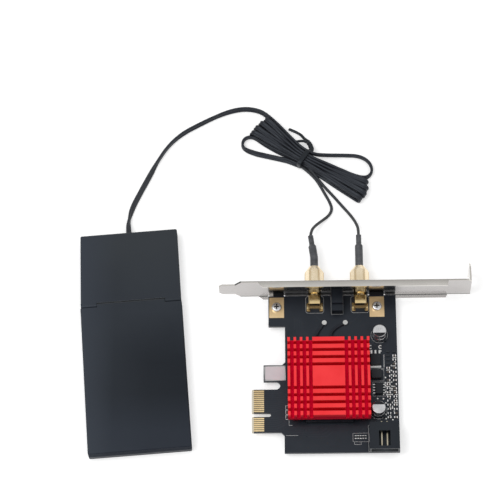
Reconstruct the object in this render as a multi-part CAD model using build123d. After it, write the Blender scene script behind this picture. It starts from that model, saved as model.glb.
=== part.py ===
from build123d import *
import math
import os

os.makedirs("parts", exist_ok=True)

# A desktop wireless network card with its folding magnetic antenna, lying flat on a table.
# X runs along the metal bracket, Y from the board towards the antenna plugs, Z up, all in millimetres.
# The card is drawn from the corner of its finger edge and its bracket edge, then moved to CARD_AT.

# Where the card and the antenna lie
CARD_AT = (-11.05, 22.25)
ANTENNA_AT = (-68.65, 19.0)
ANTENNA_TURN = 4.2

# Clearances
SLIP = 0.05
RUN = 0.06
GAP = 0.2
HOLE_ROOM = 0.15

# Circuit board
BOARD_HEIGHT = 68.9
BOARD_LENGTH = 78.7
BOARD_T = 1.57
BOARD_LIFT = 2.6
SHOULDER_U = 8.05
SHOULDER_LENGTH = 15.4
MAIN_EDGE_U = 15.85
FOOT_EDGE_U = 15.25
KEEPER_U = 5.6
KEEPER_START = 35.1
KEEPER_WIDTH = 8.2
KEEPER_SLOT = 4.0
KEEPER_SLOT_END_U = 13.4
CORNER_CUT = 1.5
EDGE_BEVEL = 0.85
EDGE_BEVEL_DEPTH = 0.4
FOIL_T = 0.06

# Edge connector contacts, in one long and one short group either side of the key slot
CONTACT_PITCH = 1.0
CONTACT_WIDTH = 0.7
CONTACT_LENGTH = 4.9
CONTACT_SIDE = 0.475
CONTACT_A_COUNT = 11
CONTACT_B_COUNT = 7
KEY_WIDTH = 1.9
KEY_END_U = 9.0

# Bracket, folded from sheet
SHEET_T = 0.86
BRACKET_LENGTH = 120.02
BRACKET_WIDTH = 18.42
BRACKET_U = -15.35
BRACKET_V = 1.5
TONGUE_LENGTH = 7.6
TONGUE_WIDTH = 10.19
TONGUE_TAPER = 3.2
TONGUE_CORNER = 1.6
FLANGE_WIDTH = 2.6
FOOT_FLANGE_WIDTH = 1.7
FLANGE_START_U = 3.4
FLANGE_END_U = 93.7
FLANGE_SLANT = 2.2
FLANGE_END_SLANT = 0.6
BEND_R = 0.7
CHASSIS_TAB_REACH = 10.7
CHASSIS_TAB_CUT = 2.6
CHASSIS_SLOT_WIDTH = 4.4
CHASSIS_SLOT_DEPTH = 7.0
CHASSIS_SLOT_V = 8.0
BOARD_TAB_WIDTH = 7.0
BOARD_TAB_REACH = 13.0
TAB_RELIEF = 0.6

# Bracket screws and the bare metal lands under their heads
SCREW_U = (12.0, 59.8)
SCREW_V = -5.9
SCREW_R = 1.45
SCREW_HEAD_R = 2.35
SCREW_HEAD_H = 1.6
SCREW_TIP = 0.9
LAND_WIDTH = 7.0
LAND_LENGTH = 10.4
RECESS_WIDTH = 0.55
RECESS_SPAN = 2.6
RECESS_DEPTH = 0.9

# Aerial jacks, and the plugs screwed on them
JACK_U = (30.2, 51.8)
JACK_Z = 6.9
JACK_BLOCK_WIDTH = 5.9
JACK_BLOCK_TOP = 9.5
JACK_BLOCK_REAR = 6.1
JACK_SHOULDER = 0.5
JACK_FRONT = -1.8
JACK_NECK_R = 2.1
JACK_NECK_END = -0.3
JACK_BARREL_R = 3.1
JACK_BARREL_END = 11.0
JACK_BORE_R = 2.3
JACK_BORE_FLOOR = 3.0
JACK_FOOT_WIDTH = 1.6
JACK_FOOT_LENGTH = 2.1
JACK_FOOT_H = 0.8
JACK_FOOT_SPAN = 7.7
JACK_BASE_LENGTH = 0.7
INSULATOR_END = 9.0
PIN_R = 0.64
NUT_ACROSS_FLATS = 8.0
NUT_START = 4.4
NUT_END = 13.6
NUT_EDGE = 0.75
NUT_DOME_LENGTH = 3.0
NUT_DOME_R = 2.6
PLUG_FLANGE_R = 3.0
PLUG_FLANGE_T = 0.5
PLUG_NECK_R = 2.0
PLUG_NECK_END = 13.2
CRIMP_R = 1.5
CRIMP_END = 19.0
SLEEVE_R = 1.9
SLEEVE_STEP = 24.6
SLEEVE_TAPER = 1.0
SLEEVE_TIP_R = 1.3
SLEEVE_END = 30.2
SLEEVE_LEAN = (8.0, 0.0)

# Status lamp in its holder between the jacks
LAMP_U = 40.85
LAMP_Z = 7.5
LAMP_R = 1.5
LAMP_TIP = 5.0
LAMP_REAR = -1.0
HOLDER_WIDTH = 5.5
HOLDER_TOP = 10.0
HOLDER_STEP = -6.0
HOLDER_STEP_TOP = 8.6
HOLDER_REAR = -9.4
HOLDER_GAP = 0.1
LAMP_LEG = 0.5
LAMP_LEG_PITCH = 2.54
LAMP_LEG_V = -8.6

# Heat sink, a cross-cut block with a solid middle
SINK_U = 36.3
SINK_V = -44.4
FIN_COUNT = 4
FIN_WIDTH = 1.2
FIN_PITCH = 2.93
SINK_MIDDLE_WIDTH = 15.1
ROW_COUNT = 4
ROW_WIDTH = 2.0
ROW_PITCH = 3.6
SINK_MIDDLE_LENGTH = 10.0
SINK_BASE_T = 2.0
FIN_HEIGHT = 4.5
CROSS_CUT = 3.6
POST_R = 2.0
POST_U = 16.0
POST_V = 16.4
POST_SCREW_R = 0.95
POST_SCREW_HEAD_R = 1.8
POST_SCREW_HEAD_H = 1.2
POST_SCREW_GRIP = 2.6

# Radio module under the heat sink, in its card-edge socket
MODULE_WIDTH = 22.0
MODULE_LENGTH = 30.0
MODULE_T = 0.8
MODULE_LIFT = 1.4
SHIELD_SIDE = 20.0
SHIELD_T = 1.3
SHIELD_SETBACK = 6.0
PAD_T = 0.5
SOCKET_LENGTH = 8.0
SOCKET_H = 2.4
SOCKET_BITE = 3.0
MODULE_SCREW_R = 0.95
MODULE_SCREW_HEAD_R = 1.7
MODULE_SCREW_HEAD_H = 0.7
MODULE_NOTCH_R = 1.3
STANDOFF_R = 2.2

# Snap-on coaxial plugs and the short leads from the board to the module
SNAP_R = 1.15
SNAP_H = 1.2
PIGTAIL_R = 0.55
BOARD_SNAPS = ((34.6, -14.2), (44.6, -14.2))
MODULE_SNAPS = ((30.2, -31.4), (41.6, -31.4))
PIGTAIL_BENDS = (
    ((31.9, -18.2), (30.2, -21.6), (29.6, -25.6)),
    ((39.8, -16.9), (37.3, -20.2), (38.4, -25.2)),
)

# Can capacitors
CAN_PLACES = ((60.6, -20.5), (59.3, -58.6))
CAN_R = 3.15
CAN_H = 5.2
CAN_BASE = 6.6
CAN_BASE_H = 0.8
CAN_BASE_CUT = 1.2
CAN_GROOVE_R = 0.35
CAN_GROOVE_Z = 1.3

# Power and logic chips
REGULATOR_AT = (58.6, -33.1)
REGULATOR_SIZE = (5.0, 5.8, 1.9)
REGULATOR_TAB_LENGTH = 1.0
REGULATOR_LEAD_PITCH = 2.3
LEAD_T = 0.4
COIL_AT = (58.7, -40.6)
COIL_SIZE = (4.9, 4.4, 2.6)
LOGIC_AT = (59.9, -47.6)
LOGIC_SIZE = (3.8, 5.8, 1.4)
LOGIC_PIN_PITCH = 1.4
LOGIC_PINS = 4
CHIP_SLANT = 0.25

# Small chip parts, in two columns along the far edge and one row by the header
CHIP_SIZE = (1.6, 0.85, 0.5)
CHIP_COLUMNS_U = (64.4, 67.4)
CHIP_FIRST_V = -29.0
CHIP_PITCH = 2.05
CHIP_COUNT = 17
CHIP_ROW_SIZE = (0.85, 1.6, 0.5)
CHIP_ROW_U = 48.4
CHIP_ROW_V = -71.4
CHIP_ROW_PITCH = 1.15
CHIP_ROW_COUNT = 5

# Side-entry cable header at the board's far end
HEADER_U = (54.8, 68.7)
HEADER_V = (-78.8, -65.8)
HEADER_H = 5.5
HEADER_WALL = 0.85
HEADER_BACK = 2.2
HEADER_WINDOW = (5.3, 7.4)
HEADER_WINDOW_EDGE = 1.5
HEADER_PIN = 0.6
HEADER_PIN_PITCH = 2.54
HEADER_PIN_TIP = -77.1
PIN_TAIL = 1.5

# Folding antenna: a base leaf and a blade, joined by a knuckle hinge
ANTENNA_T = 7.0
BASE_LENGTH = 36.5
BASE_END_WIDTH = 46.8
BASE_END_SHIFT = 0.9
BASE_HINGE_WIDTH = 48.0
BLADE_LENGTH = 74.6
BLADE_WIDTH = 48.5
LEAF_CORNER = 0.8
LEAF_EDGE = 0.35
WALL = 1.5
COVER_T = 1.5
KNUCKLE_R = 1.0
CHEEK_WIDTH = 7.6
HINGE_PIN_R = 0.5
HINGE_PIN_GRIP = 4.0
RADIATOR_SIZE = (17.0, 58.0, 0.8)
RADIATOR_PITCH = 21.0
WEIGHT_SIZE = (38.0, 24.0, 3.0)
BUSHING_R = 1.8
BUSHING_PROUD = 0.8

# Cables: a flat twin cable to the hank, and its two halves on to the plugs
TWIN_R = 1.0
LEAD_R = 0.75
EXIT_Z = 3.5
FLOOR_Z = 1.05
TWIN_ROUTE = (
    (-70.3, 61.2, 2.5),
    (-69.9, 66.6, FLOOR_Z),
    (-66.9, 75.8, FLOOR_Z),
    (-61.4, 88.4, FLOOR_Z),
    (-55.3, 99.6, FLOOR_Z),
    (-46.0, 110.3, FLOOR_Z),
    (-34.0, 117.8, FLOOR_Z),
    (-21.4, 123.6, FLOOR_Z),
    (-14.0, 124.9, FLOOR_Z),
    (-6.4, 122.6, FLOOR_Z),
    (0.6, 115.6, FLOOR_Z),
    (6.8, 108.9, FLOOR_Z),
    (11.6, 103.6, 1.6),
    (15.0, 98.8, 2.6),
)
LEFT_LEAD_ROUTE = (
    (17.2, 55.2, 6.4),
    (17.8, 58.4, 4.6),
    (20.4, 61.4, 2.2),
    (24.6, 64.4, 0.8),
    (27.8, 68.9, 0.8),
    (26.7, 73.5, 0.8),
    (23.5, 79.6, 0.8),
    (19.4, 85.5, 0.9),
    (14.6, 90.5, 1.8),
)
RIGHT_LEAD_ROUTE = (
    (40.7, 55.5, 6.1),
    (40.0, 59.5, 3.4),
    (38.0, 63.9, 1.1),
    (35.0, 68.9, 0.8),
    (30.2, 75.3, 0.8),
    (25.3, 81.9, 0.8),
    (20.8, 87.3, 0.9),
    (17.0, 91.2, 1.8),
)
LEFT_LOOP_ROUTE = (
    (-8.6, 109.2, 1.9),
    (-13.0, 108.6, 1.2),
    (-15.3, 105.0, FLOOR_Z),
    (-12.3, 101.4, FLOOR_Z),
    (-7.2, 99.1, FLOOR_Z),
    (-0.4, 97.2, FLOOR_Z),
    (6.6, 95.9, 1.3),
    (11.2, 95.2, 2.0),
)
RIGHT_LOOP_ROUTE = (
    (18.9, 96.5, 2.7),
    (25.4, 98.1, 1.6),
    (32.4, 98.0, FLOOR_Z),
    (39.2, 97.4, FLOOR_Z),
    (44.6, 95.2, FLOOR_Z),
    (47.6, 91.2, FLOOR_Z),
    (47.0, 87.2, 1.2),
    (43.4, 84.6, 2.0),
)

# Hank of the cable's spare length, pinched by a twist tie
HANK_AT = (14.4, 95.6)
HANK_TURN = -34.7
HANK_LEFT = 28.5
HANK_RIGHT = 34.5
HANK_END_HALF = 6.0
HANK_WAIST_HALF = 3.9
HANK_H = 5.6
HANK_WAIST_HALF_LENGTH = 4.0
TIE_WIDTH = 2.0
TIE_T = 0.55
TIE_WIRE_R = 0.5
TIE_TAIL_ROUTE = (
    (18.3, 101.2, 2.8),
    (18.0, 104.0, 2.5),
    (16.2, 107.0, 1.7),
    (12.6, 109.8, 0.9),
    (7.6, 112.6, 0.55),
)

BOARD_TOP = BOARD_LIFT + BOARD_T
CARD = Pos(*CARD_AT, 0)
ANTENNA = Pos(*ANTENNA_AT, 0) * Rot(0, 0, ANTENNA_TURN)
nodes = {}


def span(u, v, z):
    """A block between two values on each axis."""
    size = (u[1] - u[0], v[1] - v[0], z[1] - z[0])
    return Pos((u[0] + u[1]) / 2, (v[0] + v[1]) / 2, (z[0] + z[1]) / 2) * Box(*size)


def post(u, v, z, radius):
    """An upright round post between two heights."""
    return Pos(u, v, (z[0] + z[1]) / 2) * Cylinder(radius, z[1] - z[0])


def rod(u, z, v, radius):
    """A round rod lying along Y between two values."""
    return Pos(u, (v[0] + v[1]) / 2, z) * Rot(90, 0, 0) * Cylinder(radius, v[1] - v[0])


def bar(v, z, u, radius):
    """A round rod lying along X between two values."""
    return Pos((u[0] + u[1]) / 2, v, z) * Rot(0, 90, 0) * Cylinder(radius, u[1] - u[0])


def chip(at, size, floor, slant):
    """A moulded chip body whose four sides lean in towards the top."""
    low = Pos(*at, floor) * Rectangle(size[0], size[1])
    high = Pos(*at, floor + size[2]) * Rectangle(size[0] - 2 * slant, size[1] - 2 * slant)
    return loft([low.face(), high.face()])


def cord_tube(name, points, radius):
    """A plain tube along straight runs joined by arcs as large as the runs allow."""
    corners = [Vector(*point) for point in points]
    radii = []
    for before, corner, after in zip(corners, corners[1:], corners[2:]):
        turn = (corner - before).get_angle(after - corner)
        shorter = min((corner - before).length, (after - corner).length)
        radii.append(0.45 * shorter / math.tan(math.radians(turn / 2)))
    path = FilletPolyline(*corners, radius=radii)
    section = Plane(origin=path @ 0, z_dir=path % 0) * Circle(radius)
    tube = sweep(section, path=path)
    expected = math.pi * radius**2 * path.length
    print(name, "radii", [round(r, 1) for r in radii], "length", round(path.length, 1))
    print(name, "volume", round(tube.volume, 2), "expected", round(expected, 2))
    return tube


# Circuit board: outline with the bracket shoulder, the keeper hook and the keyed finger edge
keeper_end = KEEPER_START + KEEPER_WIDTH
finger_start = keeper_end + KEEPER_SLOT
group_a_length = (CONTACT_A_COUNT - 1) * CONTACT_PITCH + CONTACT_WIDTH + 2 * CONTACT_SIDE
group_b_length = (CONTACT_B_COUNT - 1) * CONTACT_PITCH + CONTACT_WIDTH + 2 * CONTACT_SIDE
finger_end = finger_start + group_a_length + KEY_WIDTH + group_b_length
outline = Polyline(
    (FOOT_EDGE_U, -BOARD_LENGTH),
    (BOARD_HEIGHT, -BOARD_LENGTH),
    (BOARD_HEIGHT, 0),
    (SHOULDER_U, 0),
    (SHOULDER_U, -SHOULDER_LENGTH),
    (MAIN_EDGE_U, -SHOULDER_LENGTH),
    (MAIN_EDGE_U, -KEEPER_START + CORNER_CUT),
    (MAIN_EDGE_U - CORNER_CUT, -KEEPER_START),
    (KEEPER_U, -KEEPER_START),
    (KEEPER_U, -keeper_end),
    (0, -keeper_end),
    (0, -finger_end),
    (FOOT_EDGE_U - CORNER_CUT, -finger_end),
    (FOOT_EDGE_U, -finger_end - CORNER_CUT),
    close=True,
)
board_face = make_face(outline)
keeper_slot_length = KEEPER_SLOT_END_U + KEEPER_SLOT
keeper_slot_v = -keeper_end - KEEPER_SLOT / 2
board_face -= Pos(KEEPER_SLOT_END_U - keeper_slot_length / 2, keeper_slot_v) * SlotOverall(
    keeper_slot_length, KEEPER_SLOT
)
key_length = KEY_END_U + KEY_WIDTH
key_v = -finger_start - group_a_length - KEY_WIDTH / 2
board_face -= Pos(KEY_END_U - key_length / 2, key_v) * SlotOverall(key_length, KEY_WIDTH)
board = Pos(0, 0, BOARD_LIFT) * extrude(board_face, BOARD_T)
finger_middle_v = -(finger_start + finger_end) / 2
finger_length = finger_end - finger_start + 2 * KEEPER_SLOT
for face_z, inward in ((BOARD_TOP, -1), (BOARD_LIFT, 1)):
    wedge = Polyline(
        (0, 0, face_z),
        (EDGE_BEVEL, 0, face_z),
        (0, 0, face_z + inward * EDGE_BEVEL_DEPTH),
        close=True,
    )
    bevel = extrude(make_face(wedge), finger_length / 2, dir=(0, 1, 0), both=True)
    board -= Pos(0, finger_middle_v, 0) * bevel
for u in SCREW_U:
    board -= post(u, SCREW_V, (BOARD_LIFT, BOARD_TOP), SCREW_R + HOLE_ROOM)
sink_corners = [(SINK_U + a * POST_U, SINK_V + b * POST_V) for a in (-1, 1) for b in (-1, 1)]
for u, v in sink_corners:
    board -= post(u, v, (BOARD_LIFT, BOARD_TOP), POST_SCREW_R + HOLE_ROOM)
lamp_legs_u = (LAMP_U - LAMP_LEG_PITCH / 2, LAMP_U + LAMP_LEG_PITCH / 2)
for u in lamp_legs_u:
    board -= post(u, LAMP_LEG_V, (BOARD_LIFT, BOARD_TOP), LAMP_LEG / 2 * math.sqrt(2) + HOLE_ROOM)
header_u = (HEADER_U[0] + HEADER_U[1]) / 2
header_pins_u = (header_u - HEADER_PIN_PITCH / 2, header_u + HEADER_PIN_PITCH / 2)
header_tail_v = HEADER_V[1] + HEADER_PIN + 2 * HOLE_ROOM
for u in header_pins_u:
    board -= post(u, header_tail_v, (BOARD_LIFT, BOARD_TOP), HEADER_PIN / 2 * math.sqrt(2) + HOLE_ROOM)
nodes["circuit_board"] = CARD * board

# Gold contacts on both faces of the finger edge
contacts = []
contact_groups = (
    (finger_start, CONTACT_A_COUNT),
    (finger_start + group_a_length + KEY_WIDTH, CONTACT_B_COUNT),
)
for start, count in contact_groups:
    for i in range(count):
        low = start + CONTACT_SIDE + i * CONTACT_PITCH
        for z in ((BOARD_TOP, BOARD_TOP + FOIL_T), (BOARD_LIFT - FOIL_T, BOARD_LIFT)):
            contact_u = (EDGE_BEVEL, EDGE_BEVEL + CONTACT_LENGTH)
            contacts.append(span(contact_u, (-low - CONTACT_WIDTH, -low), z))
nodes["edge_contacts"] = CARD * Compound(contacts)

# Bare metal lands round the bracket screws, and the pale field on the keeper hook
lands = []
for u in SCREW_U:
    land = span(
        (u - LAND_WIDTH / 2, u + LAND_WIDTH / 2),
        (SCREW_V - LAND_LENGTH / 2, SCREW_V + LAND_LENGTH / 2),
        (BOARD_TOP, BOARD_TOP + FOIL_T),
    )
    lands.append(land - post(u, SCREW_V, (BOARD_TOP, BOARD_TOP + FOIL_T), SCREW_R + HOLE_ROOM))
nodes["screw_lands"] = CARD * Compound(lands)
field_edge = CONTACT_SIDE
keeper_field = span(
    (KEEPER_U + field_edge, MAIN_EDGE_U),
    (-keeper_end + field_edge, -KEEPER_START - field_edge),
    (BOARD_TOP, BOARD_TOP + FOIL_T),
)
nodes["keeper_field"] = CARD * keeper_field

# Bracket: tongue, plate with a flange on both long edges, two tabs under the board, and the chassis tab
bracket_end_u = BRACKET_U + BRACKET_LENGTH
tongue_low = (BRACKET_WIDTH - TONGUE_WIDTH) / 2
tongue_high = tongue_low + TONGUE_WIDTH
plate_start_u = BRACKET_U + TONGUE_LENGTH + TONGUE_TAPER
plate_outline = Polyline(
    (BRACKET_U, BRACKET_V, tongue_low + TONGUE_CORNER),
    (BRACKET_U + TONGUE_CORNER, BRACKET_V, tongue_low),
    (BRACKET_U + TONGUE_LENGTH, BRACKET_V, tongue_low),
    (plate_start_u, BRACKET_V, 0),
    (bracket_end_u, BRACKET_V, 0),
    (bracket_end_u, BRACKET_V, BRACKET_WIDTH - CHASSIS_TAB_CUT),
    (bracket_end_u - CHASSIS_TAB_CUT, BRACKET_V, BRACKET_WIDTH),
    (plate_start_u, BRACKET_V, BRACKET_WIDTH),
    (BRACKET_U + TONGUE_LENGTH, BRACKET_V, tongue_high),
    (BRACKET_U + TONGUE_CORNER, BRACKET_V, tongue_high),
    (BRACKET_U, BRACKET_V, tongue_high - TONGUE_CORNER),
    close=True,
)
plate_v = (BRACKET_V, BRACKET_V + SHEET_T)
bracket = extrude(make_face(plate_outline), SHEET_T, dir=(0, 1, 0))
for z, width in ((0, FOOT_FLANGE_WIDTH), (BRACKET_WIDTH - SHEET_T, FLANGE_WIDTH)):
    flange = Polyline(
        (FLANGE_START_U, BRACKET_V, z),
        (FLANGE_START_U + FLANGE_SLANT, BRACKET_V - width, z),
        (FLANGE_END_U - FLANGE_END_SLANT, BRACKET_V - width, z),
        (FLANGE_END_U, BRACKET_V, z),
        close=True,
    )
    bracket += extrude(make_face(flange), SHEET_T, dir=(0, 0, 1))
for u in SCREW_U:
    tab_u = (u - BOARD_TAB_WIDTH / 2, u + BOARD_TAB_WIDTH / 2)
    relief_u = (tab_u[0] - TAB_RELIEF, tab_u[1] + TAB_RELIEF)
    bracket -= span(relief_u, (BRACKET_V - FLANGE_WIDTH, plate_v[1]), (0, BOARD_LIFT - SHEET_T))
    tab_v = (BRACKET_V - BOARD_TAB_REACH, BRACKET_V)
    bracket += span(tab_u, tab_v, (BOARD_LIFT - SHEET_T, BOARD_LIFT))
    bracket -= post(u, SCREW_V, (0, BOARD_LIFT), SCREW_R + SLIP)
chassis_tab = Polyline(
    (bracket_end_u, BRACKET_V, 0),
    (bracket_end_u, BRACKET_V + CHASSIS_TAB_REACH - CHASSIS_TAB_CUT, 0),
    (bracket_end_u, BRACKET_V + CHASSIS_TAB_REACH, CHASSIS_TAB_CUT),
    (bracket_end_u, BRACKET_V + CHASSIS_TAB_REACH, BRACKET_WIDTH - 2 * CHASSIS_TAB_CUT),
    (bracket_end_u, BRACKET_V + CHASSIS_TAB_REACH - CHASSIS_TAB_CUT, BRACKET_WIDTH - CHASSIS_TAB_CUT),
    (bracket_end_u, BRACKET_V, BRACKET_WIDTH - CHASSIS_TAB_CUT),
    close=True,
)
bracket += extrude(make_face(chassis_tab), SHEET_T, dir=(-1, 0, 0))
slot_r = CHASSIS_SLOT_WIDTH / 2
slot_u = (bracket_end_u - SHEET_T, bracket_end_u)
bracket -= span(
    slot_u,
    (CHASSIS_SLOT_V - slot_r, CHASSIS_SLOT_V + slot_r),
    (0, CHASSIS_SLOT_DEPTH - slot_r),
)
bracket -= bar(CHASSIS_SLOT_V, CHASSIS_SLOT_DEPTH - slot_r, slot_u, slot_r)
for u in JACK_U:
    bracket -= rod(u, JACK_Z, plate_v, JACK_BARREL_R + HOLE_ROOM)
bracket -= rod(LAMP_U, LAMP_Z, plate_v, LAMP_R + HOLE_ROOM)
long_folds = bracket.edges().filter_by(Axis.X).filter_by_position(Axis.Y, plate_v[1], plate_v[1])
outer_folds = []
for edge in long_folds:
    if edge.length > FLANGE_WIDTH and abs(edge.center().Z - BRACKET_WIDTH / 2) > tongue_high / 2:
        outer_folds.append(edge)
bracket = fillet(outer_folds, BEND_R)
nodes["bracket"] = CARD * bracket

# Pan-head screws, cross-recessed, through the lands and the board into the bracket's tabs
head_z = (BOARD_TOP + FOIL_T, BOARD_TOP + FOIL_T + SCREW_HEAD_H)
screws = []
for u in SCREW_U:
    head = post(u, SCREW_V, head_z, SCREW_HEAD_R)
    head = fillet(head.edges().group_by(Axis.Z)[-1], SCREW_HEAD_H / 2)
    shank = post(u, SCREW_V, (BOARD_LIFT - SHEET_T - SCREW_TIP, head_z[0]), SCREW_R)
    recess_at = Pos(u, SCREW_V, head_z[1] - RECESS_DEPTH / 2)
    cross = recess_at * Box(RECESS_SPAN, RECESS_WIDTH, RECESS_DEPTH)
    cross += recess_at * Box(RECESS_WIDTH, RECESS_SPAN, RECESS_DEPTH)
    screws.append((head + shank - cross).solid())
nodes["bracket_screws"] = CARD * Compound(screws)

# Heat sink: fins and cross cuts either side of a solid middle, on four screwed posts
pad_z = BOARD_TOP + MODULE_LIFT + MODULE_T + SHIELD_T
sink_z = pad_z + PAD_T
fins_z = sink_z + SINK_BASE_T
sink_top = fins_z + FIN_HEIGHT
half_u = SINK_MIDDLE_WIDTH / 2 + FIN_COUNT * FIN_PITCH
half_v = SINK_MIDDLE_LENGTH / 2 + ROW_COUNT * ROW_PITCH
sink = span((SINK_U - half_u, SINK_U + half_u), (SINK_V - half_v, SINK_V + half_v), (sink_z, sink_top))
cut_v = (SINK_V - half_v, SINK_V + half_v)
cut_u = (SINK_U - half_u, SINK_U + half_u)
for side in (-1, 1):
    for i in range(FIN_COUNT):
        near = SINK_MIDDLE_WIDTH / 2 + i * FIN_PITCH
        edges = sorted((SINK_U + side * near, SINK_U + side * (near + FIN_PITCH - FIN_WIDTH)))
        sink -= span(edges, cut_v, (fins_z, sink_top))
    for i in range(ROW_COUNT):
        near = SINK_MIDDLE_LENGTH / 2 + i * ROW_PITCH
        edges = sorted((SINK_V + side * near, SINK_V + side * (near + ROW_PITCH - ROW_WIDTH)))
        sink -= span(cut_u, edges, (sink_top - CROSS_CUT, sink_top))
post_screw_top = BOARD_TOP + POST_SCREW_GRIP
for u, v in sink_corners:
    sink += post(u, v, (BOARD_TOP, sink_z), POST_R)
    sink -= post(u, v, (BOARD_TOP, post_screw_top + SLIP), POST_SCREW_R + SLIP)
nodes["heat_sink"] = CARD * sink

post_screws = []
for u, v in sink_corners:
    head = post(u, v, (BOARD_LIFT - POST_SCREW_HEAD_H, BOARD_LIFT), POST_SCREW_HEAD_R)
    head = fillet(head.edges().group_by(Axis.Z)[0], POST_SCREW_HEAD_H / 2)
    post_screws.append((head + post(u, v, (BOARD_LIFT, post_screw_top), POST_SCREW_R)).solid())
nodes["heat_sink_screws"] = CARD * Compound(post_screws)

# Radio module: its board, shield can and pad, edge socket, standoff and screw
module_v = (SINK_V - MODULE_LENGTH / 2, SINK_V + MODULE_LENGTH / 2)
module_u = (SINK_U - MODULE_WIDTH / 2, SINK_U + MODULE_WIDTH / 2)
module_z = (BOARD_TOP + MODULE_LIFT, BOARD_TOP + MODULE_LIFT + MODULE_T)
module_board = span(module_u, module_v, module_z)
module_board -= post(SINK_U, module_v[1], module_z, MODULE_NOTCH_R)
nodes["module_board"] = CARD * module_board
shield_v = module_v[0] + SHIELD_SETBACK + SHIELD_SIDE / 2
shield = Pos(SINK_U, shield_v, module_z[1] + SHIELD_T / 2) * Box(SHIELD_SIDE, SHIELD_SIDE, SHIELD_T)
nodes["module_shield"] = CARD * fillet(shield.edges().filter_by(Axis.Z), PAD_T)
pad = Pos(SINK_U, shield_v, pad_z + PAD_T / 2) * Box(SHIELD_SIDE, SHIELD_SIDE, PAD_T)
nodes["thermal_pad"] = CARD * pad
socket_v = (module_v[0] + SOCKET_BITE - SOCKET_LENGTH, module_v[0] + SOCKET_BITE)
socket = span(module_u, socket_v, (BOARD_TOP, BOARD_TOP + SOCKET_H))
socket -= span(
    (module_u[0], module_u[1]),
    (module_v[0] - SLIP, socket_v[1]),
    (module_z[0] - SLIP, module_z[1] + SLIP),
)
nodes["module_socket"] = CARD * socket
standoff = post(SINK_U, module_v[1], (BOARD_TOP, module_z[0]), STANDOFF_R)
standoff -= post(SINK_U, module_v[1], (BOARD_TOP, module_z[0]), MODULE_SCREW_R + SLIP)
nodes["module_standoff"] = CARD * standoff
module_screw_z = (module_z[1], module_z[1] + MODULE_SCREW_HEAD_H)
module_screw = post(SINK_U, module_v[1], module_screw_z, MODULE_SCREW_HEAD_R)
module_screw += post(SINK_U, module_v[1], (BOARD_TOP + SLIP, module_z[1]), MODULE_SCREW_R)
nodes["module_screw"] = CARD * module_screw

# Short coaxial leads with a round snap-on plug at each end
snaps = []
pigtails = []
for board_snap, module_snap, bends in zip(BOARD_SNAPS, MODULE_SNAPS, PIGTAIL_BENDS):
    snaps.append(post(*board_snap, (BOARD_TOP, BOARD_TOP + SNAP_H), SNAP_R))
    snaps.append(post(*module_snap, (module_z[1], module_z[1] + SNAP_H), SNAP_R))
    low = BOARD_TOP + SNAP_H / 2
    high = module_z[1] + SNAP_H / 2
    first = Vector(bends[0][0] - board_snap[0], bends[0][1] - board_snap[1], 0).normalized()
    last = Vector(module_snap[0] - bends[-1][0], module_snap[1] - bends[-1][1], 0).normalized()
    start = Vector(*board_snap, low) + first * (SNAP_R + SLIP)
    stop = Vector(*module_snap, high) - last * (SNAP_R + SLIP)
    route = [tuple(start)]
    rise = (high - low) / (len(bends) - 1)
    route += [(*bend, low + rise * i) for i, bend in enumerate(bends)]
    route.append(tuple(stop))
    pigtails.append(cord_tube("pigtail", route, PIGTAIL_R))
nodes["pigtail_plugs"] = CARD * Compound(snaps)
nodes["pigtail_leads"] = CARD * Compound(pigtails)

# Aerial jacks: a block on the board with two feet, and a barrel through the bracket
insulators = []
jack_pins = []
for side, u in zip(("left", "right"), JACK_U):
    section = Polyline(
        (u - JACK_BLOCK_WIDTH / 2, -JACK_BLOCK_REAR, BOARD_TOP),
        (u + JACK_BLOCK_WIDTH / 2, -JACK_BLOCK_REAR, BOARD_TOP),
        (u + JACK_BLOCK_WIDTH / 2, -JACK_BLOCK_REAR, JACK_BLOCK_TOP - JACK_SHOULDER),
        (u + JACK_BLOCK_WIDTH / 2 - JACK_SHOULDER, -JACK_BLOCK_REAR, JACK_BLOCK_TOP),
        (u - JACK_BLOCK_WIDTH / 2 + JACK_SHOULDER, -JACK_BLOCK_REAR, JACK_BLOCK_TOP),
        (u - JACK_BLOCK_WIDTH / 2, -JACK_BLOCK_REAR, JACK_BLOCK_TOP - JACK_SHOULDER),
        close=True,
    )
    jack = extrude(make_face(section), JACK_BLOCK_REAR + JACK_FRONT, dir=(0, 1, 0))
    jack += rod(u, JACK_Z, (JACK_FRONT, JACK_NECK_END), JACK_NECK_R)
    jack += rod(u, JACK_Z, (JACK_NECK_END, JACK_BARREL_END), JACK_BARREL_R)
    for end in (-1, 1):
        outer = u + end * JACK_FOOT_SPAN / 2
        inner = outer - end * JACK_FOOT_WIDTH
        foot_v = (-JACK_BLOCK_REAR - JACK_FOOT_LENGTH, -JACK_BLOCK_REAR + JACK_FOOT_LENGTH)
        jack += span(sorted((inner, outer)), foot_v, (BOARD_TOP, BOARD_TOP + JACK_FOOT_H))
    base_u = (u - JACK_FOOT_SPAN / 2, u + JACK_FOOT_SPAN / 2)
    base_v = (-JACK_BLOCK_REAR - JACK_BASE_LENGTH, -JACK_BLOCK_REAR)
    jack += span(base_u, base_v, (BOARD_TOP, BOARD_TOP + JACK_FOOT_H))
    jack -= rod(u, JACK_Z, (JACK_BORE_FLOOR, JACK_BARREL_END), JACK_BORE_R)
    nodes[f"{side}_jack"] = CARD * jack
    insulator = rod(u, JACK_Z, (JACK_BORE_FLOOR, INSULATOR_END), JACK_BORE_R - SLIP / 2)
    insulator -= rod(u, JACK_Z, (JACK_BORE_FLOOR, INSULATOR_END), PIN_R + SLIP / 2)
    insulators.append(insulator)
    jack_pins.append(rod(u, JACK_Z, (JACK_BORE_FLOOR, INSULATOR_END), PIN_R))
nodes["jack_insulators"] = CARD * Compound(insulators)
nodes["jack_pins"] = CARD * Compound(jack_pins)

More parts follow.
